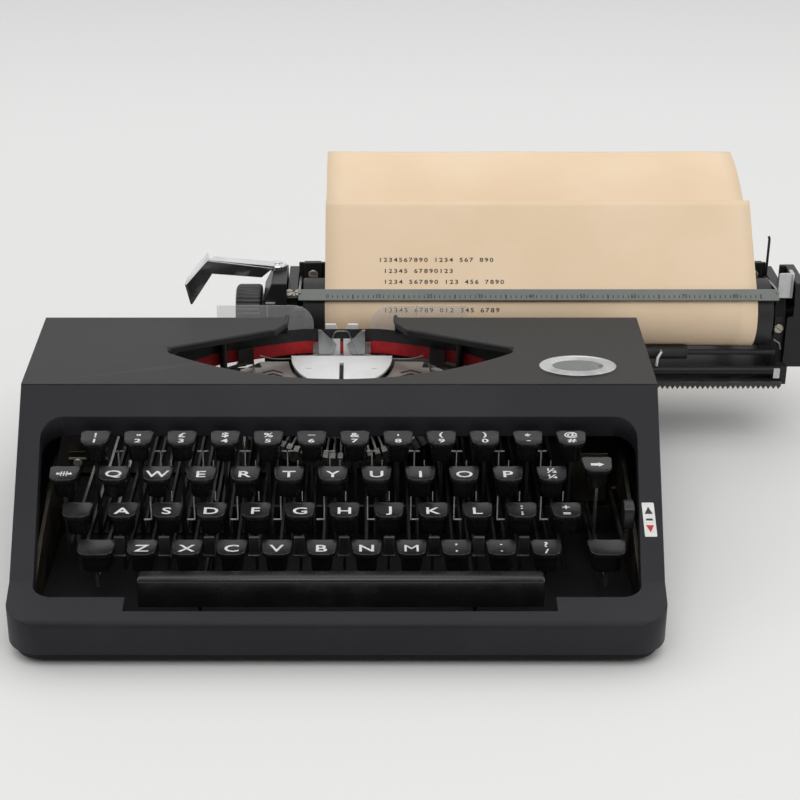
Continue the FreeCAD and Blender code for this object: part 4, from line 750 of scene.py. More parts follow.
def makeKeyRow(name, row, legends, look):
    depth, height = keySpot(row)
    first = nodeSpan(name + "_caps")[0][0] + keyShape["width"] / 2
    groups = {name: [bmesh.new(), bmesh.new()], "h_key": [bmesh.new(), bmesh.new()]}
    for index, legend in enumerate(legends):
        caps, letters = groups["h_key" if legend == "H" else name]
        place = capPlace(first + index * keyGrid["pitch"], depth, height, keyShape)
        addCap(caps, place, keyShape["width"], keyShape)
        if isinstance(legend, tuple):
            for text, level in zip(legend, (look["pairUp"], look["pairDown"])):
                addLegend(letters, place, text, level, look["pairSize"], look["pairWidth"], look, keyShape)
        else:
            addLegend(letters, place, legend, look["nearness"], look["letterSize"], look["letterWidth"],
                      look, keyShape)
    for body, (caps, letters) in groups.items():
        if body == "h_key" and "H" not in legends:
            caps.free()
            letters.free()
            continue
        node = "h_key_cap" if body == "h_key" else name + "_caps"
        finishPiece(caps, body + "Caps", keyPlastic, body, 0.0, 50.0, (node,))
        finishPiece(letters, body + "Legends", whiteInk, body)


for rowName, rowIndex, rowLegends in keyRows:
    makeKeyRow(rowName, rowIndex, rowLegends, legendLook)

pivotMiddle = nodeSpan("key_pivot_rod")[2]
leverShape = {"thick": 1.2, "tall": 3.2, "frontHeight": 13.0, "pivotDepth": pivotMiddle[1],
              "pivotHeight": pivotMiddle[2], "stem": 3.2, "reach": 3.0}
sideKeys = {  # places hold x, row from the back and the rise above that row
    "shift": {"node": "shift_keys", "places": [(-102.5, 3, 0.0), (114.3, 3, 0.0)], "width": 16.5},
    "shift_lock": {"node": "shift_lock_key", "places": [(-112.0, 2, 0.0)], "width": 13.2},
    "margin_release": {"node": "margin_release_key", "places": [(-119.2, 1, 0.0)], "width": 13.2},
    "backspace": {"node": "backspace_key", "places": [(112.3, 1, 4.5)], "width": 13.2},
}
markLook = {"low": -0.02, "high": 0.04, "arrow": (2.9, 3.4), "dashHalf": (2.4, 0.28),
            "strokes": (-1.2, 0.0, 1.2), "strokeHalf": (0.22, 1.9), "tipAt": 2.6, "tip": (1.0, 2.4)}


def addLever(bm, x, depth, height, shape):
    front = keyGrid["depth"] - 3 * keyGrid["step"]
    pivotDepth, pivotHeight = shape["pivotDepth"], shape["pivotHeight"]
    rise = (pivotDepth - depth) / (pivotDepth - front)
    line = pivotHeight + (shape["frontHeight"] - pivotHeight) * rise
    foot = height - keyShape["tall"] + 1.0
    low, stem, reach = shape["tall"] / 2, shape["stem"] / 2, shape["reach"]
    profile = [(depth - stem, foot), (depth - stem, line - low), (pivotDepth - reach, pivotHeight - reach),
               (pivotDepth - reach, pivotHeight + reach), (depth + stem, line + low), (depth + stem, foot)]
    addPrism(bm, profile, -shape["thick"] / 2, shape["thick"] / 2, sideways(x))


def addArrow(bm, place, half, height, flip=1.0):
    neck, waist = half * 0.15, height * 0.28
    points = [(-half, -waist), (neck, -waist), (neck, -height / 2), (half, 0), (neck, height / 2),
              (neck, waist), (-half, waist)]
    outline = [(x * flip, y) for x, y in points]
    addPrism(bm, outline if flip > 0 else outline[::-1], markLook["low"], markLook["high"], place)


def addMarginMark(bm, place, look):
    long, thin = look["dashHalf"]
    addBox(bm, -long, long, -thin, thin, look["low"], look["high"], place)
    narrow, tall = look["strokeHalf"]
    for stroke in look["strokes"]:
        addBox(bm, stroke - narrow, stroke + narrow, -tall, tall, look["low"], look["high"], place)
    for side in (-1, 1):
        addArrow(bm, place @ Matrix.Translation((side * look["tipAt"], 0, 0)), *look["tip"], side)


def makeSideKeys():
    for body, spec in sideKeys.items():
        caps, levers, marks = bmesh.new(), bmesh.new(), bmesh.new()
        for x, row, rise in spec["places"]:
            depth, height = keySpot(row, rise)
            place = capPlace(x, depth, height, keyShape)
            addCap(caps, place, spec["width"], keyShape)
            addLever(levers, x, depth, height, leverShape)
            level = place @ Matrix.Translation((0, 0, -keyShape["dish"] * 0.86))
            if body == "backspace":
                addArrow(marks, level, *markLook["arrow"])
            if body == "margin_release":
                addMarginMark(marks, level, markLook)
        finishPiece(caps, body + "Cap", keyPlastic, body, 0.0, 50.0, (spec["node"],))
        finishPiece(levers, body + "Lever", leverSteel, body)
        if marks.verts:
            finishPiece(marks, body + "Mark", whiteInk, body)
        else:
            marks.free()


makeSideKeys()

spaceLow, spaceHigh = nodeSpan("space_bar")[:2]
spaceShape = {"left": spaceLow[0], "right": spaceHigh[0], "front": spaceLow[1], "rear": spaceHigh[1],
              "top": 29.8, "drop": 1.0, "face": 13.5, "edge": 1.9,
              "ends": ((0.0, 1.2), (0.35, 0.45), (1.2, 0.0)), "depthShare": 0.6}


def makeSpaceBar(shape):
    bm = bmesh.new()
    r, front, rear, top = shape["edge"], shape["front"], shape["rear"], shape["top"]
    section = []
    for index in range(7):
        angle = math.radians(180 - 90 * index / 6)
        section.append((front + r + r * math.cos(angle), top - r + r * math.sin(angle)))
    for index in range(7):
        angle = math.radians(90 - 90 * index / 6)
        section.append((rear - r + r * math.cos(angle), top - shape["drop"] - r + r * math.sin(angle)))
    low = top - shape["face"]
    section += [(rear, low), (front, low)]
    middleY, middleZ = (front + rear) / 2, top - shape["face"] / 2
    cuts = [(shape["left"] + inward, inset) for inward, inset in shape["ends"]]
    cuts += [(shape["right"] - inward, inset) for inward, inset in reversed(shape["ends"])]
    rings = []
    for x, inset in cuts:
        ring = []
        for y, z in section:
            nearY = y + (inset if y < middleY else -inset) * shape["depthShare"]
            nearZ = z - (inset if z > middleZ else 0.0)
            ring.append((x, nearY, nearZ))
        rings.append(ring)
    addRings(bm, rings)
    finishPiece(bm, "spaceBar", keyPlastic, "space", 0.0, 40.0, ("space_bar",))


makeSpaceBar(spaceShape)
print("keys made")


# Type area

ribbonHalf = [(9.0, 199.0), (20.5, 198.9), (40.0, 192.4), (59.0, 185.2), (72.0, 174.0), (88.6, 160.0)]
ribbonLow, ribbonHigh = nodeSpan("ribbon")[:2]
ribbonShape = {"path": [(-x, y) for x, y in reversed(ribbonHalf)] + ribbonHalf, "low": ribbonLow[2],
               "high": ribbonHigh[2], "thick": 0.24, "wave": 0.10, "waveTurn": 1.3}


def makeRibbon(shape):
    bm = bmesh.new()
    path = smoothPath([(x, y, 0) for x, y in shape["path"]], 4)
    levels = (0, 0.25, 0.5, 0.75, 1)
    rings = []
    for index, point in enumerate(path):
        along = (path[min(index + 1, len(path) - 1)] - path[max(index - 1, 0)]).normalized()
        out = Vector((-along.y, along.x, 0))
        side = out * shape["thick"] / 2
        sway = out * shape["wave"] * math.sin(index * shape["waveTurn"])
        ring = []
        for level, push in [(step, 1) for step in levels] + [(step, -1) for step in reversed(levels)]:
            height = shape["low"] + (shape["high"] - shape["low"]) * level
            ring.append(Vector((point.x, point.y, height)) + side * push + sway * (level - 0.5))
        rings.append(ring)
    addRings(bm, rings)
    finishPiece(bm, "inkedRibbonStrip", inkedRibbon, "chassis", 0.0, 50.0, ("ribbon",))


makeRibbon(ribbonShape)

spoolShape = {"x": 104.0, "depth": 160.0, "low": 49.05, "shelf": 51.95, "high": 67.5, "radius": 18.8,
              "wound": 15.0, "woundTall": 12.8, "turns": 24, "looseness": 0.12, "hub": 5.6, "bore": 2.4,
              "holes": 5, "holeAt": 11, "holeOuter": 2.2, "holeInner": 1.7, "holeRise": 0.12}


def makeSpool(body, side, shape):
    place = Matrix.Translation((side * shape["x"], shape["depth"], 0))
    flanges, cloth = bmesh.new(), bmesh.new()
    low, high, radius, hub, bore = (shape[key] for key in ("low", "high", "radius", "hub", "bore"))
    addLathe(flanges, [(bore, low), (radius - 0.4, low), (radius, low + 0.35), (radius - 0.2, low + 0.9),
                       (hub, low + 1.2), (hub, high - 1.0), (radius - 0.6, high - 0.8),
                       (radius - 0.5, high - 0.1), (bore, high)], place, 64)
    outer, inner, rise = shape["holeOuter"], shape["holeInner"], high + shape["holeRise"]
    for index in range(shape["holes"]):
        angle = 2 * math.pi * index / shape["holes"]
        spot = (shape["holeAt"] * math.cos(angle), shape["holeAt"] * math.sin(angle), 0)
        addLathe(flanges, [(outer, high - 0.2), (outer, rise), (inner, rise), (inner, high - 0.2)],
                 place @ Matrix.Translation(spot), 20)
    start, tall, count = shape["shelf"] + 1.2, shape["woundTall"], shape["turns"]
    turns = [(shape["wound"] + shape["looseness"] * (index % 2), start + tall * index / count)
             for index in range(count + 1)]
    addLathe(cloth, [(hub + 0.1, turns[0][1])] + turns + [(hub + 0.1, turns[-1][1])], place, 56)
    name = "left" if side < 0 else "right"
    node = name + "_ribbon_spool"
    finishPiece(flanges, name + "SpoolFlanges", blackedSteel, body, 0.0, 30.0, (node,))
    finishPiece(cloth, name + "SpoolCloth", inkedRibbon, body, 0.0, 30.0)


makeSpool("left_spool", -1, spoolShape)
makeSpool("right_spool", 1, spoolShape)

guideShape = {  # the clips that lead the ribbon, and the wire and tongue that ride on the vibrator
    "x": 47.0, "depth": 188.2, "wide": 8.0, "low": 52.2, "high": 60.2, "thick": 0.4, "turn": -20,
    "foot": 3.0, "footThick": 0.8, "postRadius": 0.9,
    "post": [(57.6, 183.4, 47.2), (57.6, 183.4, 50.8), (51.0, 186.5, 51.8), (47.0, 188.2, 51.8)],
    "fingerX": 13.0, "fingerWide": 2.4, "fingerDepth": (197.35, 197.8), "fingerLevels": (52.4, 59.4),
    "fingerFoot": (48.5, 52.4), "wireRadius": 0.32,
    "wire": [(40.0, 187.0, 57.0), (34.0, 189.6, 54.2), (24.0, 194.2, 52.3), (15.0, 197.0, 52.6),
             (9.5, 197.2, 53.2), (7.3, 197.2, 54.4), (5.0, 197.2, 60.6), (3.6, 197.2, 64.6),
             (2.0, 197.2, 65.6), (0.0, 197.2, 65.7)],
    "tongueX": (0.8, 7.2), "tongueDepth": (198.1, 198.5), "tongueLevels": (52.2, 61.2),
}


def makeRibbonGuides(shape):
    clips, fingers, tongue = bmesh.new(), bmesh.new(), bmesh.new()
    half, thick = shape["wide"] / 2, shape["thick"]
    for side in (-1, 1):
        turn = Matrix.Rotation(side * math.radians(shape["turn"]), 4, "Z")
        place = Matrix.Translation((side * shape["x"], shape["depth"], 0)) @ turn
        addBox(clips, -half, half, -thick, thick, shape["low"], shape["high"], place)
        addBox(clips, -half, half, -thick, shape["foot"], shape["low"] - shape["footThick"],
               shape["low"], place)
        addTube(clips, [(side * x, y, z) for x, y, z in shape["post"]], shape["postRadius"])
    for side in (-1, 1):
        left = side * shape["fingerX"] - shape["fingerWide"] / 2
        for levels in (shape["fingerLevels"], shape["fingerFoot"]):
            addBox(fingers, left, left + shape["fingerWide"], *shape["fingerDepth"], *levels)
        wire = [(side * x, y, z) for x, y, z in shape["wire"]]
        addTube(fingers, smoothPath(wire, 5), shape["wireRadius"], 8)
        edges = sorted(side * x for x in shape["tongueX"])
        addBox(tongue, *edges, *shape["tongueDepth"], *shape["tongueLevels"])
    finishPiece(clips, "ribbonGuides", blackedSteel, "chassis", 0.12)
    finishPiece(fingers, "vibratorWire", leverSteel, "vibrator")
    finishPiece(tongue, "shieldTongue", satinPlatePaintedLight, "vibrator", 0.1)


makeRibbonGuides(guideShape)

guardShape = {"depth": 199.0, "height": 49.8, "dip": 12.0, "thick": 1.0, "innerRadius": 26.4,
              "outer": [(50.0, -9.0), (40.0, -2.0)], "front": [(20.5, -34.0), (34.0, -40.0), (47.0, -34.0)],
              "ribX": 43.5, "ribHalf": 0.5, "ribDepth": (-33.0, -8.0), "ribTall": 3.0,
              "slotX": 34.0, "slotY": -10.5, "slotStep": 3.0, "slotSpread": 2.4, "slotTurn": 24,
              "slotHalf": (2.8, 0.5), "slotLevels": (-0.2, 0.05)}


def makeGuard(shape):
    plates, slots = bmesh.new(), bmesh.new()
    dip = Matrix.Rotation(math.radians(shape["dip"]), 4, "X")
    place = Matrix.Translation((0, shape["depth"], shape["height"])) @ dip
    long, thin = shape["slotHalf"]
    for side in (-1, 1):
        angles = [math.radians(degrees) for degrees in range(-4, -49, -4)]
        inner = [(shape["innerRadius"] * math.cos(a), shape["innerRadius"] * math.sin(a)) for a in angles]
        outline = [(side * x, y) for x, y in shape["outer"] + inner + shape["front"]]
        addPrism(plates, outline if side > 0 else outline[::-1], -shape["thick"], 0.0, place)
        rib = side * shape["ribX"]
        addBox(plates, rib - shape["ribHalf"], rib + shape["ribHalf"], *shape["ribDepth"], 0.0,
               shape["ribTall"], place)
        for index in range(2):
            y = shape["slotY"] - index * shape["slotStep"]
            for leg in (-1, 1):
                x = side * shape["slotX"] + leg * shape["slotSpread"]
                turn = Matrix.Rotation(math.radians(-leg * shape["slotTurn"]), 4, "Z")
                bar = place @ Matrix.Translation((x, y, 0)) @ turn
                addBox(slots, -long, long, -thin, thin, *shape["slotLevels"], bar)
    finishPiece(plates, "guardPlates", agedPlate, "chassis", 0.2)
    finishPiece(slots, "guardSlots", blackInk, "chassis")


makeGuard(guardShape)
print("type area made")


# Carriage

platenShape = dict(zip(("middle", "depth", "height"), nodeSpan("platen")[2]))
bailLow, bailHigh = nodeSpan("paper_bail")[:2]
bailShape = {"radius": 18.5, "angle": 132.7, "left": bailLow[0], "right": bailHigh[0], "wide": 6.2,
             "thick": 1.0, "armThick": 1.3, "armRadius": 3.0, "pivotDepth": 243.0, "pivotHeight": 74.0,
             "firstMark": -7.2, "pitch": 2.54, "marks": 86, "markWide": 0.42, "short": 1.5, "long": 2.3,
             "digit": 3.0, "digitWidth": 0.95, "digitWeight": 0.04, "digitRise": 0.3, "level": -1.1}


def platenPoint(radius, angle):
    turn = math.radians(angle)
    return (platenShape["depth"] + radius * math.cos(turn),
            platenShape["height"] + radius * math.sin(turn))


def makeBailArms(shape, y, z):
    arms = bmesh.new()
    depth, height, radius = shape["pivotDepth"], shape["pivotHeight"], shape["armRadius"]
    outline = [(y - 0.6, z - 2.4), (depth - 2.0, height - 3.0)]
    for index in range(7):
        angle = math.radians(-90 + 30 * index)
        outline.append((depth + radius * math.cos(angle), height + radius * math.sin(angle)))
    outline += [(y + 1.4, z + 2.6), (y - 0.6, z + 1.6)]
    for x in (shape["left"] - 0.1, shape["right"] + 0.1 - shape["armThick"]):
        addPrism(arms, outline, 0.0, shape["armThick"], sideways(x))
    finishPiece(arms, "bailArms", leverSteel, "bail", 0.2)


def makeBail(shape):
    y, z = platenPoint(shape["radius"], shape["angle"])
    place = Matrix.Translation((0, y, z)) @ Matrix.Rotation(math.radians(shape["angle"] - 90), 4, "X")
    bar, marks = bmesh.new(), bmesh.new()
    half = shape["wide"] / 2
    addBox(bar, shape["left"], shape["right"], -half, half, 0.0, shape["thick"], place)
    finishPiece(bar, "scaleBar", scaleGrey, "bail", 0.22, 32.0, ("paper_bail",))
    makeBailArms(shape, y, z)
    face = place @ Matrix.Translation((0, 0, shape["thick"]))
    level = shape["level"]
    for index in range(shape["marks"]):
        x = shape["firstMark"] + index * shape["pitch"]
        if index % 10 == 0:
            points, faces = makeText(str(index), shape["digit"], shape["digitWidth"], shape["digitWeight"])
            lifted = [Vector((p.x + x, p.y + level + shape["digitRise"], p.z + 0.01)) for p in points]
            addFaces(marks, lifted, faces, face)
        else:
            tall = shape["long"] if index % 5 == 0 else shape["short"]
            wide = shape["markWide"] * (1.6 if index % 5 == 0 else 1.0)
            addBox(marks, x - wide / 2, x + wide / 2, level - tall / 2, level + tall / 2, -0.02, 0.03, face)
    finishPiece(marks, "scaleMarks", blackInk, "bail")


makeBail(bailShape)

sheetLow, sheetHigh = nodeSpan("paper_sheet")[:2]
paperShape = {"left": sheetLow[0], "wide": sheetHigh[0] - sheetLow[0], "thick": 0.12,
              "radius": 17.475, "headAngle": 135.0,
              "head": 54.0, "rise": 14.0, "bendRadius": 30.0, "bend": 50.0, "endRadius": 95.0,
              "endBend": 36.0, "sway": 0.25, "columns": 22}
typedLook = {"size": 3.1, "width": 1.25, "weight": 0.04, "pitch": 2.54, "lift": 0.10}
typedLines = [  # digits, left edge, distance above the place where the head leaves the platen
    ("1234567890 1234 567 890", 18.0, 20.7), ("12345 67890123", 20.5, 14.6),
    ("1234 567890 123 456 7890", 20.5, 8.6), ("12345 6789 012 345 6789", 20.5, -6.4),
]
startHead = platenPoint(paperShape["radius"], paperShape["headAngle"])


def headPoint(shape, run):
    direction = math.radians(shape["headAngle"] - 90)
    return startHead[0] + run * math.cos(direction), startHead[1] + run * math.sin(direction)


def paperPath(shape):
    # From the end of the tail down behind the platen, round it, and up along the head.
    radius, bend, end = shape["radius"], shape["bendRadius"], shape["endRadius"]
    path = []
    rear = platenShape["depth"] + radius
    turn = math.radians(shape["bend"])
    shift = end - bend
    top = platenShape["height"] + shape["rise"]
    for index in range(25):
        angle = turn + math.radians(shape["endBend"]) * (1 - index / 24)
        path.append((rear + bend + shift * math.cos(turn) - end * math.cos(angle),
                     top - shift * math.sin(turn) + end * math.sin(angle)))
    for index in range(1, 17):
        angle = turn * (1 - index / 16)
        path.append((rear + bend * (1 - math.cos(angle)), top + bend * math.sin(angle)))
    path.append((rear, platenShape["height"] + shape["rise"] / 2))
    sweep = 360 - shape["headAngle"]
    path += [platenPoint(radius, -sweep * index / 56) for index in range(57)]
    path += [headPoint(shape, shape["head"] * index / 16) for index in range(1, 17)]
    return path


def paperSpot(shape, distance):
    if distance >= 0:
        return (*headPoint(shape, distance), shape["headAngle"])
    angle = shape["headAngle"] - math.degrees(distance / shape["radius"])
    return (*platenPoint(shape["radius"], angle), angle)


def makePaperSheet(shape):
    bm = bmesh.new()
    path = paperPath(shape)
    columns = shape["columns"]
    grid = []
    for row, (y, z) in enumerate(path):
        share = row / (len(path) - 1)
        free = max(0.0, (share - 0.80) / 0.20) + max(0.0, (0.12 - share) / 0.12)  # away from the platen
        line = []
        for column in range(columns + 1):
            across = column / columns
            sway = shape["sway"] * free * math.sin(across * 7.0 + share * 3.0)
            line.append(bm.verts.new((shape["left"] + shape["wide"] * across, y, z - abs(sway) * 0.6)))
        grid.append(line)
    for first, second in zip(grid, grid[1:]):
        for column in range(columns):
            bm.faces.new((first[column], first[column + 1], second[column + 1], second[column]))
    paper = finishPiece(bm, "buffSheet", buffPaper, "platen_unit", 0.0, 60.0, ("paper_sheet",))
    solid = paper.modifiers.new("thickness", "SOLIDIFY")
    solid.thickness = shape["thick"] * mm
    solid.offset = 0.0


def makeTypedDigits(shape, look):
    typed = bmesh.new()
    for text, left, distance in typedLines:
        for index, letter in enumerate(text):
            if letter == " ":
                continue
            points, faces = makeText(letter, look["size"], look["width"], look["weight"])
            x = left + look["pitch"] * (index + 0.5)
            spots = []
            for p in points:
                y, z, angle = paperSpot(shape, distance + p.y)
                out, lift = math.radians(angle), look["lift"] + p.z
                spots.append(Vector((x + p.x, y + lift * math.cos(out), z + lift * math.sin(out))))
            addFaces(typed, spots, faces, Matrix.Identity(4))
    finishPiece(typed, "typedDigits", typedInk, "platen_unit")


makePaperSheet(paperShape)
makeTypedDigits(paperShape, typedLook)


# Ribbon cover opening, card holders, badge and selector

coverDetail = {"bead": 1.0, "sink": 0.35, "rise": 0.0405, "creaseHeight": 74.0,
               "creaseDepth": nodeSpan("ribbon_cover")[0][1],
               "edge": [(80.5, 153.2), (69.5, 157.6), (53.5, 164.3), (35.5, 171.9), (31.5, 173.1),
                        (28.2, 178.2), (26.0, 182.0), (26.0, 189.4)]}


def coverLevel(depth):
    return coverDetail["creaseHeight"] + (depth - coverDetail["creaseDepth"]) * coverDetail["rise"]


def makeOpeningBead(look):
    bm = bmesh.new()
    for side in (-1, 1):
        path = [(side * (x + look["sink"]), y, coverLevel(y) - look["sink"]) for x, y in look["edge"]]
        addTube(bm, smoothPath(path, 3), look["bead"], 8)
    finishPiece(bm, "openingBeads", coverPlastic, "cover")


makeOpeningBead(coverDetail)

holdersHigh = nodeSpan("card_holders")[1]
holderShape = {"inner": 14.0, "far": holdersHigh[0], "low": 58.0, "high": holdersHigh[2],
               "depth": 205.2, "thick": 0.8, "corner": 10.0, "legX": 56.0, "legWide": 3.5,
               "shelf": 47.4, "line": 23.0,
               "lineHalf": 0.12}


def makeCardHolders(shape):
    clear, marks = bmesh.new(), bmesh.new()
    inner, corner, high = shape["inner"], shape["corner"], shape["high"]
    far, depth, thick = shape["far"], shape["depth"], shape["thick"]
    for side in (-1, 1):
        outline = [(inner, shape["low"])]
        for index in range(9):
            angle = math.radians(180 - 90 * index / 8)
            outline.append((inner + corner + corner * math.cos(angle),
                            high - corner + corner * math.sin(angle)))
        outline += [(far, high), (far, shape["low"])]
        outline = [(side * x, z) for x, z in outline]
        addPrism(clear, outline if side < 0 else outline[::-1], 0.0, thick, upright(0, depth + thick))
        leg, line = side * shape["legX"], side * (inner + shape["line"])
        addBox(clear, leg - 0.1, leg + side * shape["legWide"], depth, depth + thick, shape["shelf"],
               shape["low"])
        addBox(marks, line - shape["lineHalf"], line + shape["lineHalf"], depth - 0.03, depth + 0.02,
               shape["low"] + 2.0, high - 0.6)
    finishPiece(clear, "cardHolders", clearPlastic, "chassis", 0.28, 32.0,
                ("card_holders",))
    finishPiece(marks, "holderLines", labelWhite, "chassis")


makeCardHolders(holderShape)

badgeShape = {"x": 109.0, "depth": 133.6, "length": 35.3, "breadth": 20.8, "thick": 0.8, "rim": 0.9,
              "sunk": 0.72, "fieldLong": 0.66, "fieldBroad": 0.52, "fieldTop": 0.8}


def makeBadge(shape):
    tilt = Matrix.Rotation(math.atan(coverDetail["rise"]), 4, "X")
    place = Matrix.Translation((shape["x"], shape["depth"], coverLevel(shape["depth"]))) @ tilt
    halfLong, halfBroad, thick, rim = shape["length"] / 2, shape["breadth"] / 2, shape["thick"], shape["rim"]
    sunk = thick * shape["sunk"]
    plate, field = bmesh.new(), bmesh.new()
    steps = [(0.0, 0.0), (0.0, thick * 0.7), (0.35, thick), (rim, thick), (rim + 0.25, sunk), (6.0, sunk)]
    addRings(plate, [ovalPoints(halfLong - inset, halfBroad - inset, level, place)
                     for inset, level in steps])
    finishPiece(plate, "ovalBadge", scratchedSilver, "cover", 0.0, 30.0, ("badge_plate",))
    a, b = halfLong * shape["fieldLong"], halfBroad * shape["fieldBroad"]
    addRings(field, [ovalPoints(a * share, b * share, level, place)
                     for share, level in ((1.0, sunk), (0.99, thick * shape["fieldTop"]))])
    finishPiece(field, "badgeField", scaleGrey, "cover", 0.0, 30.0)


makeBadge(badgeShape)

selectorLow, selectorHigh, selectorMiddle = nodeSpan("ribbon_selector")
selectorShape = {
    "x": selectorMiddle[0], "wide": selectorHigh[0] - selectorLow[0], "high": selectorHigh[2],
    "depth": 62.0, "long": 9.0, "tall": 11.0, "leverHalf": 0.6,
    "lever": [(60.4, 20.0), (62.0, 16.8), (117.6, 18.4), (119.4, 18.4), (119.4, 21.6), (63.6, 20.0)],
    "labelX": 132.6, "labelDepth": 54.0, "labelSize": (5.2, 17.0, 0.4), "labelThick": 0.12,
    "dark": [(-1.7, 2.8), (1.7, 2.8), (0.0, 6.4)], "red": [(-1.7, -2.8), (0.0, -6.4), (1.7, -2.8)],
    "dash": (1.4, 0.5), "inkLevels": (0.1, 0.15),
}
wellRim = {"frontDepth": 28.0, "frontHeight": 24.0, "run": 88.0, "rise": 50.0}


def rimHeight(depth):
    return wellRim["frontHeight"] + wellRim["rise"] * (depth - wellRim["frontDepth"]) / wellRim["run"]


def makeSelector(shape):
    knob, lever = bmesh.new(), bmesh.new()
    half, thin = shape["wide"] / 2, shape["leverHalf"]
    front, rear = shape["depth"] - shape["long"] / 2, shape["depth"] + shape["long"] / 2
    low, high = shape["high"] - shape["tall"], shape["high"]
    side = sideways(shape["x"] - half)
    outline = [(front, low), (rear, low), (rear, high - 2.0), (rear - 1.2, high - 0.6), (rear - 2.8, high),
               (front + 2.8, high - 0.4), (front + 0.8, high - 1.6), (front, high - 3.2)]
    addPrism(knob, outline, 0.0, shape["wide"], side)
    blade = shape["lever"]
    ends = [(blade[0][0], low + 0.4)] + blade + [(blade[-1][0], low + 0.4)]
    addPrism(lever, ends, half - thin, half + thin, side)
    finishPiece(knob, "selectorKnob", knobPlastic, "selector", 0.5, 30.0,
                ("ribbon_selector",))
    finishPiece(lever, "selectorLever", leverSteel, "selector")


def makeSelectorLabel(shape):
    label, dark, red = bmesh.new(), bmesh.new(), bmesh.new()
    slope = Matrix.Rotation(math.atan2(wellRim["rise"], wellRim["run"]), 4, "X")
    spot = (shape["labelX"], shape["labelDepth"], rimHeight(shape["labelDepth"]))
    place = Matrix.Translation(spot) @ slope
    levels = shape["inkLevels"]
    long, thin = shape["dash"]
    addPrism(label, roundedOutline(*shape["labelSize"], 3), 0.0, shape["labelThick"], place)
    addPrism(dark, shape["dark"], *levels, place)
    addBox(dark, -long, long, -thin, thin, *levels, place)
    addPrism(red, shape["red"], *levels, place)
    finishPiece(label, "selectorLabel", labelWhite, "chassis", 0.04)
    finishPiece(dark, "selectorMarks", blackInk, "chassis")
    finishPiece(red, "selectorRedMark", redInk, "chassis")


makeSelector(selectorShape)
makeSelectorLabel(selectorShape)
print("cover details made")


# Carriage ends, levers and knobs

knobShape = {"end": nodeSpan("platen_knobs")[1][0], "length": 13.0, "radius": 14.0, "ribs": 36,
             "ribDepth": 0.45, "collar": 9.0, "boss": 4.6, "bore": 3.3}


def makeKnobs(shape):
    bm = bmesh.new()
    r, far, collar, boss, bore = (shape[key] for key in ("radius", "length", "collar", "boss", "bore"))
    profile = [(bore, 0.0), (r - 1.2, 0.0), (r - 0.4, 0.4), (r, 1.4), (r, far - 2.0), (r - 0.6, far - 0.8),
               (r - 1.8, far - 0.05), (collar + 1.0, far), (collar, far - 0.9), (boss, far - 0.9),
               (boss - 0.2, far - 0.4), (bore, far - 0.4)]
    start = shape["end"] - platenShape["middle"] - far
    for side in (-1, 1):
        turn = Matrix.Rotation(math.radians(90 * side), 4, "Y")
        x = platenShape["middle"] + side * start
        place = Matrix.Translation((x, platenShape["depth"], platenShape["height"])) @ turn
        addLathe(bm, profile, place, 144, shape["ribs"], shape["ribDepth"])
    finishPiece(bm, "platenKnobs", knobPlastic, "platen", 0.0, 40.0, ("platen_knobs",))


makeKnobs(knobShape)

returnShape = {  # corners of each plate are measured from the pivot, the elbow or the tip
    "pivot": (-33.0, 236.0, 84.0), "elbow": (-66.0, 222.0, 92.0), "tip": (-75.5, 199.0, 85.5),
    "hub": [(1.2, 0.0), (5.0, 0.0), (5.0, 2.2), (4.5, 2.8), (2.6, 3.0), (2.4, 3.8), (0.9, 3.9)],
    "plates": [
        (1.2, [("pivot", 2.0, -3.4, 1.6), ("pivot", 3.0, 3.4, 1.6), ("elbow", 2.0, 4.2, 1.8),
               ("elbow", -1.2, -1.4, 1.8)]),
        (1.1, [("pivot", -2.0, -4.2, 1.8), ("elbow", -0.8, -1.8, 2.2), ("elbow", 0.4, -1.9, -4.8),
               ("pivot", -8.0, -6.0, -2.6)]),
        (1.2, [("elbow", -0.4, -1.0, 3.6), ("elbow", 0.6, -2.0, -5.2), ("tip", 1.8, 0.4, -6.6),
               ("tip", -0.6, -1.4, 4.8)]),
        (1.2, [("elbow", -0.4, -1.0, 3.6), ("tip", -0.6, -1.4, 4.8), ("tip", -0.4, 3.6, 5.4),
               ("elbow", -1.0, 4.0, 4.2)]),
    ],
}


def addSheetMetal(bm, points, thickness):
    normal = (points[1] - points[0]).cross(points[2] - points[0]).normalized() * thickness / 2
    addRings(bm, [[point + normal for point in points], [point - normal for point in points]])


def makeReturnLever(shape):
    bm = bmesh.new()
    addLathe(bm, shape["hub"], Matrix.Translation(shape["pivot"]), 40)
    for thickness, corners in shape["plates"]:
        points = [Vector(shape[origin]) + Vector(offset) for origin, *offset in corners]
        addSheetMetal(bm, points, thickness)
    finishPiece(bm, "returnLever", brightChrome, "return_lever", 0.32, 30.0,
                ("return_lever",))


makeReturnLever(returnShape)

releaseLow, releaseHigh = nodeSpan("paper_release_lever")[:2]
releaseShape = {"right": releaseHigh[0], "thick": 1.8, "front": releaseLow[1], "low": 75.0,
                "high": releaseHigh[2], "foot": 6.0, "pivot": (234.0, 72.0),
                "eye": [(0.0, -3.0), (2.1, -2.1), (3.0, 0.0), (2.1, 2.1)],
                "tabWide": 7.0, "tabCorner": 1.3, "tabShare": 0.8, "tabShift": 2.4}


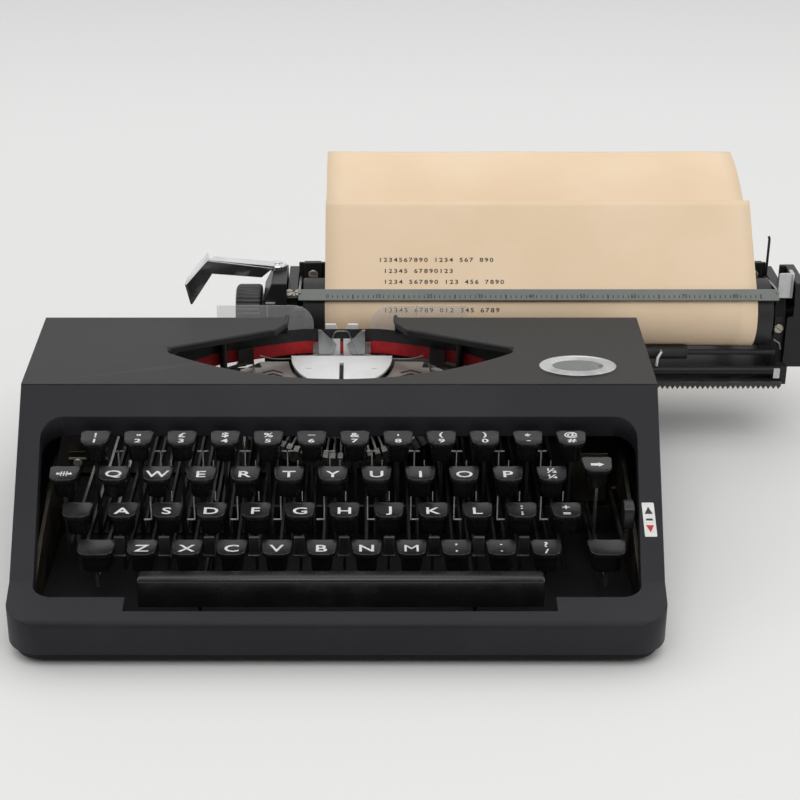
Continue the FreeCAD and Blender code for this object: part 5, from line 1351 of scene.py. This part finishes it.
def makeReleaseLever(shape):
    bm = bmesh.new()
    y, z = shape["pivot"]
    low, high, front, thick = shape["low"], shape["high"], shape["front"], shape["thick"]
    left = shape["right"] - thick
    outline = [(y + dy, z + dz) for dy, dz in shape["eye"]]
    outline += [(front + shape["foot"], high), (front, high), (front, low)]
    addPrism(bm, outline, 0.0, thick, sideways(left))
    tabThick = thick * shape["tabShare"]
    tab = upright(left - shape["tabShift"], front + tabThick, (low + high) / 2)
    addPrism(bm, roundedOutline(shape["tabWide"], high - low, shape["tabCorner"]), 0.0, tabThick, tab)
    finishPiece(bm, "releaseTab", scratchedSilver, "paper_release", 0.22, 30.0,
                ("paper_release_lever",))


makeReleaseLever(releaseShape)

# Small hardware, as boxes of x, depth and height ranges, tubes along points, and screws of
# place, normal, radius, height and slot angle.
platenHardware = {
    "blocks": [(-19.5, -10.9, 244.0, 247.2, 66.0, 84.0), (206.1, 215.5, 244.0, 247.2, 66.0, 84.0),
               (-37.8, -32.8, 212.9, 214.05, 66.5, 73.6)],
    "post": ([(218.5, 247.0, 70.0), (218.5, 247.0, 96.0), (218.1, 247.6, 97.2)], 0.7),
    "brackets": [(-29.6, -18.6, 216.0, 221.0, 75.6, 77.2), (-24.0, -19.4, 215.2, 216.4, 69.2, 71.0),
                 (-38.2, -33.4, 212.6, 214.05, 73.6, 74.5)],
    "hook": ([(218.6, 217.8, 52.5), (221.4, 217.2, 51.0), (222.4, 217.2, 47.4)], 0.7),
    "screws": [((-15.1, 244.0, 77.6), (0, -1, 0), 2.6, 1.0, -10),
               ((211.1, 244.0, 77.6), (0, -1, 0), 2.6, 1.0, 50),
               ((-26.6, 217.4, 77.6), (0, -0.5, 1), 2.3, 1.1, 10),
               ((-21.6, 217.4, 77.6), (0, -0.5, 1), 2.3, 1.1, 10),
               ((220.6, 217.9, 58.6), (0, -1, 0), 2.5, 1.0, -35)],
}
rollerHardware = {
    "brackets": [(-24.1, -20.9, 203.9, 204.3, 37.0, 42.5), (216.9, 220.1, 203.9, 204.3, 37.0, 42.5)],
    "arm": ([(158.0, 205.6, 43.0), (158.6, 207.0, 47.0), (160.6, 208.6, 49.2), (160.6, 212.0, 49.6)], 0.8),
}


def addBoxes(bm, boxes):
    for box in boxes:
        addBox(bm, *box)


def addScrews(bm, screws):
    for screw in screws:
        addScrew(bm, *screw)


def makeCarriageHardware(lifted, fixed):
    dark, bright, screws, small = (bmesh.new() for _ in range(4))
    addBoxes(dark, lifted["blocks"])
    addTube(dark, *lifted["post"], 8)
    addBoxes(bright, lifted["brackets"])
    addTube(bright, *lifted["hook"], 8)
    addScrews(screws, lifted["screws"])
    finishPiece(dark, "carriageBlocks", carriagePaint, "platen_unit", 0.25)
    finishPiece(bright, "carriageBrackets", scratchedSilver, "platen_unit", 0.15)
    finishPiece(screws, "carriageScrews", agedScrew, "platen_unit", 0.08)
    addBoxes(small, fixed["brackets"])
    addTube(small, *fixed["arm"], 8)
    finishPiece(small, "rollerBrackets", scratchedSilver, "carriage", 0.12)


makeCarriageHardware(platenHardware, rollerHardware)

wellHardware = {
    "plates": [(105.2, 120.5, 102.0, 102.9, 22.0, 46.0), (-121.5, -104.0, 102.0, 102.9, 40.0, 47.0)],
    "strip": [(-121.5, -104.0, 101.6, 102.0, 43.2, 44.1)],
    "screws": [((-117.6, 101.9, 41.6), (0, -1, 0), 2.0, 1.0, 35),
               ((117.2, 101.9, 40.5), (0, -1, 0), 2.4, 1.0, 35)],
}
guideRow = {"count": 11, "x": -99.6, "depth": 104.8, "thick": 0.5, "low": 38.0, "high": 46.0,
            "dashHalf": 2.5, "dashTall": 0.5, "stemHalf": 0.25, "sideX": 4.6, "sideHalf": 0.2,
            "sideLow": -1.0, "sideHigh": 3.0}
postRow = {"count": 10, "x": -82.6, "depth": 78.0, "thick": 0.5, "low": 25.3, "high": 36.8,
           "stemHalf": 0.25, "foot": 3.4, "footTall": 0.5, "leftOnes": 5, "sideX": (9.3, 9.7),
           "sideLow": -2.0, "sideHigh": 2.6}
blockRow = {"count": 10, "x": -92.5, "depth": 46.2, "thick": 1.6, "low": 25.2, "high": 34.4,
            "half": 2.2, "lipHigh": 0.8, "lipLeft": 0.6, "lipRight": 0.3, "lipFront": 0.3}


def rowPlaces(row):
    return [row["x"] + index * keyGrid["pitch"] for index in range(row["count"])]


def makeLeverGuides(row):
    stems = bmesh.new()
    y0, y1, low, high = row["depth"], row["depth"] + row["thick"], row["low"], row["high"]
    for x in rowPlaces(row):
        side = x + row["sideX"]
        addBox(stems, x - row["dashHalf"], x + row["dashHalf"], y0, y1, high - row["dashTall"], high)
        addBox(stems, x - row["stemHalf"], x + row["stemHalf"], y0, y1, low, high)
        addBox(stems, side - row["sideHalf"], side + row["sideHalf"], y0, y1, low + row["sideLow"],
               low + row["sideHigh"])
    finishPiece(stems, "leverGuides", satinPlatePaintedLight, "chassis")


def makeLeverPosts(row):
    posts = bmesh.new()
    y0, y1, low, high = row["depth"], row["depth"] + row["thick"], row["low"], row["high"]
    for index, x in enumerate(rowPlaces(row)):
        foot = -row["foot"] if index < row["leftOnes"] else row["foot"]
        left, right = row["sideX"]
        addBox(posts, x - row["stemHalf"], x + row["stemHalf"], y0, y1, low, high)
        addBox(posts, *sorted((x, x + foot)), y0, y1, low, low + row["footTall"])
        addBox(posts, x + left, x + right, y0, y1, high + row["sideLow"], high + row["sideHigh"])
    finishPiece(posts, "leverPosts", satinPlatePaintedLight, "upper_row")


def makeLeverBlocks(row):
    blocks, lips = bmesh.new(), bmesh.new()
    y0, y1, low, lip = row["depth"], row["depth"] + row["thick"], row["low"], row["low"] + row["lipHigh"]
    for x in rowPlaces(row):
        left, right = x - row["half"], x + row["half"]
        addBox(blocks, left, right, y0, y1, lip, row["high"])
        addBox(lips, left - row["lipLeft"], right + row["lipRight"], y0 - row["lipFront"], y1, low, lip)
    finishPiece(blocks, "leverBlocks", blackedSteel, "chassis", 0.15)
    finishPiece(lips, "blockLips", leverSteel, "chassis")


def makeWellHardware(pieces):
    plates, screws = bmesh.new(), bmesh.new()
    addBoxes(plates, pieces["plates"])
    addBoxes(screws, pieces["strip"])
    addScrews(screws, pieces["screws"])
    finishPiece(plates, "wellPlates", platedSteel, "chassis", 0.15)
    finishPiece(screws, "wellScrews", agedScrew, "chassis", 0.08)


makeWellHardware(wellHardware)
makeLeverGuides(guideRow)
makeLeverPosts(postRow)
makeLeverBlocks(blockRow)

panScrew = {"x": 96.0, "depths": (22.0, 254.0), "height": 2.2, "radius": 3.0, "tall": 0.8, "slot": 25}


def makePanScrews(look):
    screws = bmesh.new()
    for side in (-1, 1):
        for depth in look["depths"]:
            addScrew(screws, (side * look["x"], depth, look["height"]), (0, 0, -1), look["radius"],
                     look["tall"], look["slot"] * side)
    finishPiece(screws, "panScrews", agedScrew, "chassis", 0.08)


makePanScrews(panScrew)
print("carriage made")


# Stage, light and camera

# Painted light: the floor colour runs from darker near the front to lighter further back.
floorLook = {"near": (0.80, 0.80, 0.79), "far": (0.93, 0.93, 0.925), "fade": (0.1, 1.0), "rough": 0.75,
             "corners": ((-9.0, -6.0), (9.0, -6.0), (9.0, 9.0), (-9.0, 9.0))}
worldLook = {"strength": 0.52, "behind": 0.42, "seen": 0.85}  # seen is the backdrop, 1 is white
lamps = [  # name, place, aim, size in metres, power in watts
    ("overheadSoft", (0.05, 0.50, 1.35), (0.05, 0.14, 0.0), (2.0, 1.5), 3.4),
    ("frontHigh", (0.05, -0.62, 1.34), (0.08, 0.20, 0.08), (1.4, 0.9), 8.6),
    ("leftWindow", (-1.25, 0.15, 0.95), (0.0, 0.14, 0.04), (1.1, 1.1), 2.6),
    ("rightFill", (1.35, 0.20, 0.95), (0.05, 0.14, 0.04), (1.1, 1.1), 2.0),
    ("rightLow", (1.30, 0.05, 0.30), (0.22, 0.24, 0.0), (0.7, 0.5), 1.3),
]
cameraLook = {"place": (0.012, -0.5995, 0.3997), "pitchDown": 25.0, "lens": 78.75, "sensor": 36.0,
              "shiftX": 0.0425, "clip": (0.02, 60.0)}


def makeStage(look):
    bm = bmesh.new()
    bm.faces.new([bm.verts.new((x, y, 0)) for x, y in look["corners"]])
    mesh = bpy.data.meshes.new("studioFloor")
    bm.to_mesh(mesh)
    bm.free()
    floor = bpy.data.objects.new("studioFloor", mesh)
    scene.collection.objects.link(floor)
    material, tree, shader = newMaterial("paleFloor")
    places = tree.nodes.new("ShaderNodeTexCoord")
    split = tree.nodes.new("ShaderNodeSeparateXYZ")
    tree.links.new(places.outputs["Object"], split.inputs[0])
    # painted light ramp from near to far
    far = rampNode(tree, split.outputs["Y"], *look["fade"])
    tree.links.new(mixColour(tree, far, look["near"], look["far"]), shader.inputs["Base Color"])
    shader.inputs["Roughness"].default_value = look["rough"]
    mesh.materials.append(material)


def makeWorld(look):
    world = bpy.data.worlds.new("studioWorld")
    world.use_nodes = True
    tree = world.node_tree
    background = tree.nodes["Background"]
    background.inputs["Color"].default_value = (1.0, 1.0, 1.0, 1.0)
    rays = tree.nodes.new("ShaderNodeLightPath")
    seen = mathNode(tree, "MAXIMUM", rays.outputs["Is Camera Ray"], rays.outputs["Is Transmission Ray"])
    places = tree.nodes.new("ShaderNodeTexCoord")
    split = tree.nodes.new("ShaderNodeSeparateXYZ")
    tree.links.new(places.outputs["Generated"], split.inputs[0])
    behind = scaledAndRaised(tree, split.outputs["Y"], look["behind"], look["strength"])
    blend = tree.nodes.new("ShaderNodeMix")
    tree.links.new(seen, blend.inputs["Factor"])
    tree.links.new(behind, blend.inputs["A"])
    blend.inputs["B"].default_value = look["seen"]
    tree.links.new(blend.outputs["Result"], background.inputs["Strength"])
    scene.world = world


def addLamp(name, place, aim, size, power):
    lamp = bpy.data.lights.new(name, "AREA")
    lamp.shape = "RECTANGLE"
    lamp.size, lamp.size_y = size
    lamp.energy = power
    holder = bpy.data.objects.new(name, lamp)
    holder.location = place
    holder.rotation_euler = (Vector(aim) - Vector(place)).to_track_quat("-Z", "Y").to_euler()
    scene.collection.objects.link(holder)


def makeCamera(look):
    camera = bpy.data.cameras.new("photoCamera")
    camera.lens = look["lens"]
    camera.sensor_width = look["sensor"]
    camera.shift_x = look["shiftX"]
    camera.clip_start, camera.clip_end = look["clip"]
    holder = bpy.data.objects.new("photoCamera", camera)
    holder.location = look["place"]
    holder.rotation_euler = (math.radians(90 - look["pitchDown"]), 0, 0)
    scene.collection.objects.link(holder)
    scene.camera = holder


makeStage(floorLook)
makeWorld(worldLook)
for lampName, lampPlace, lampAim, lampSize, lampPower in lamps:
    addLamp(lampName, lampPlace, lampAim, lampSize, lampPower)
makeCamera(cameraLook)
scene.view_settings.view_transform = "Standard"
print("stage and camera set")

bpy.context.view_layer.update()
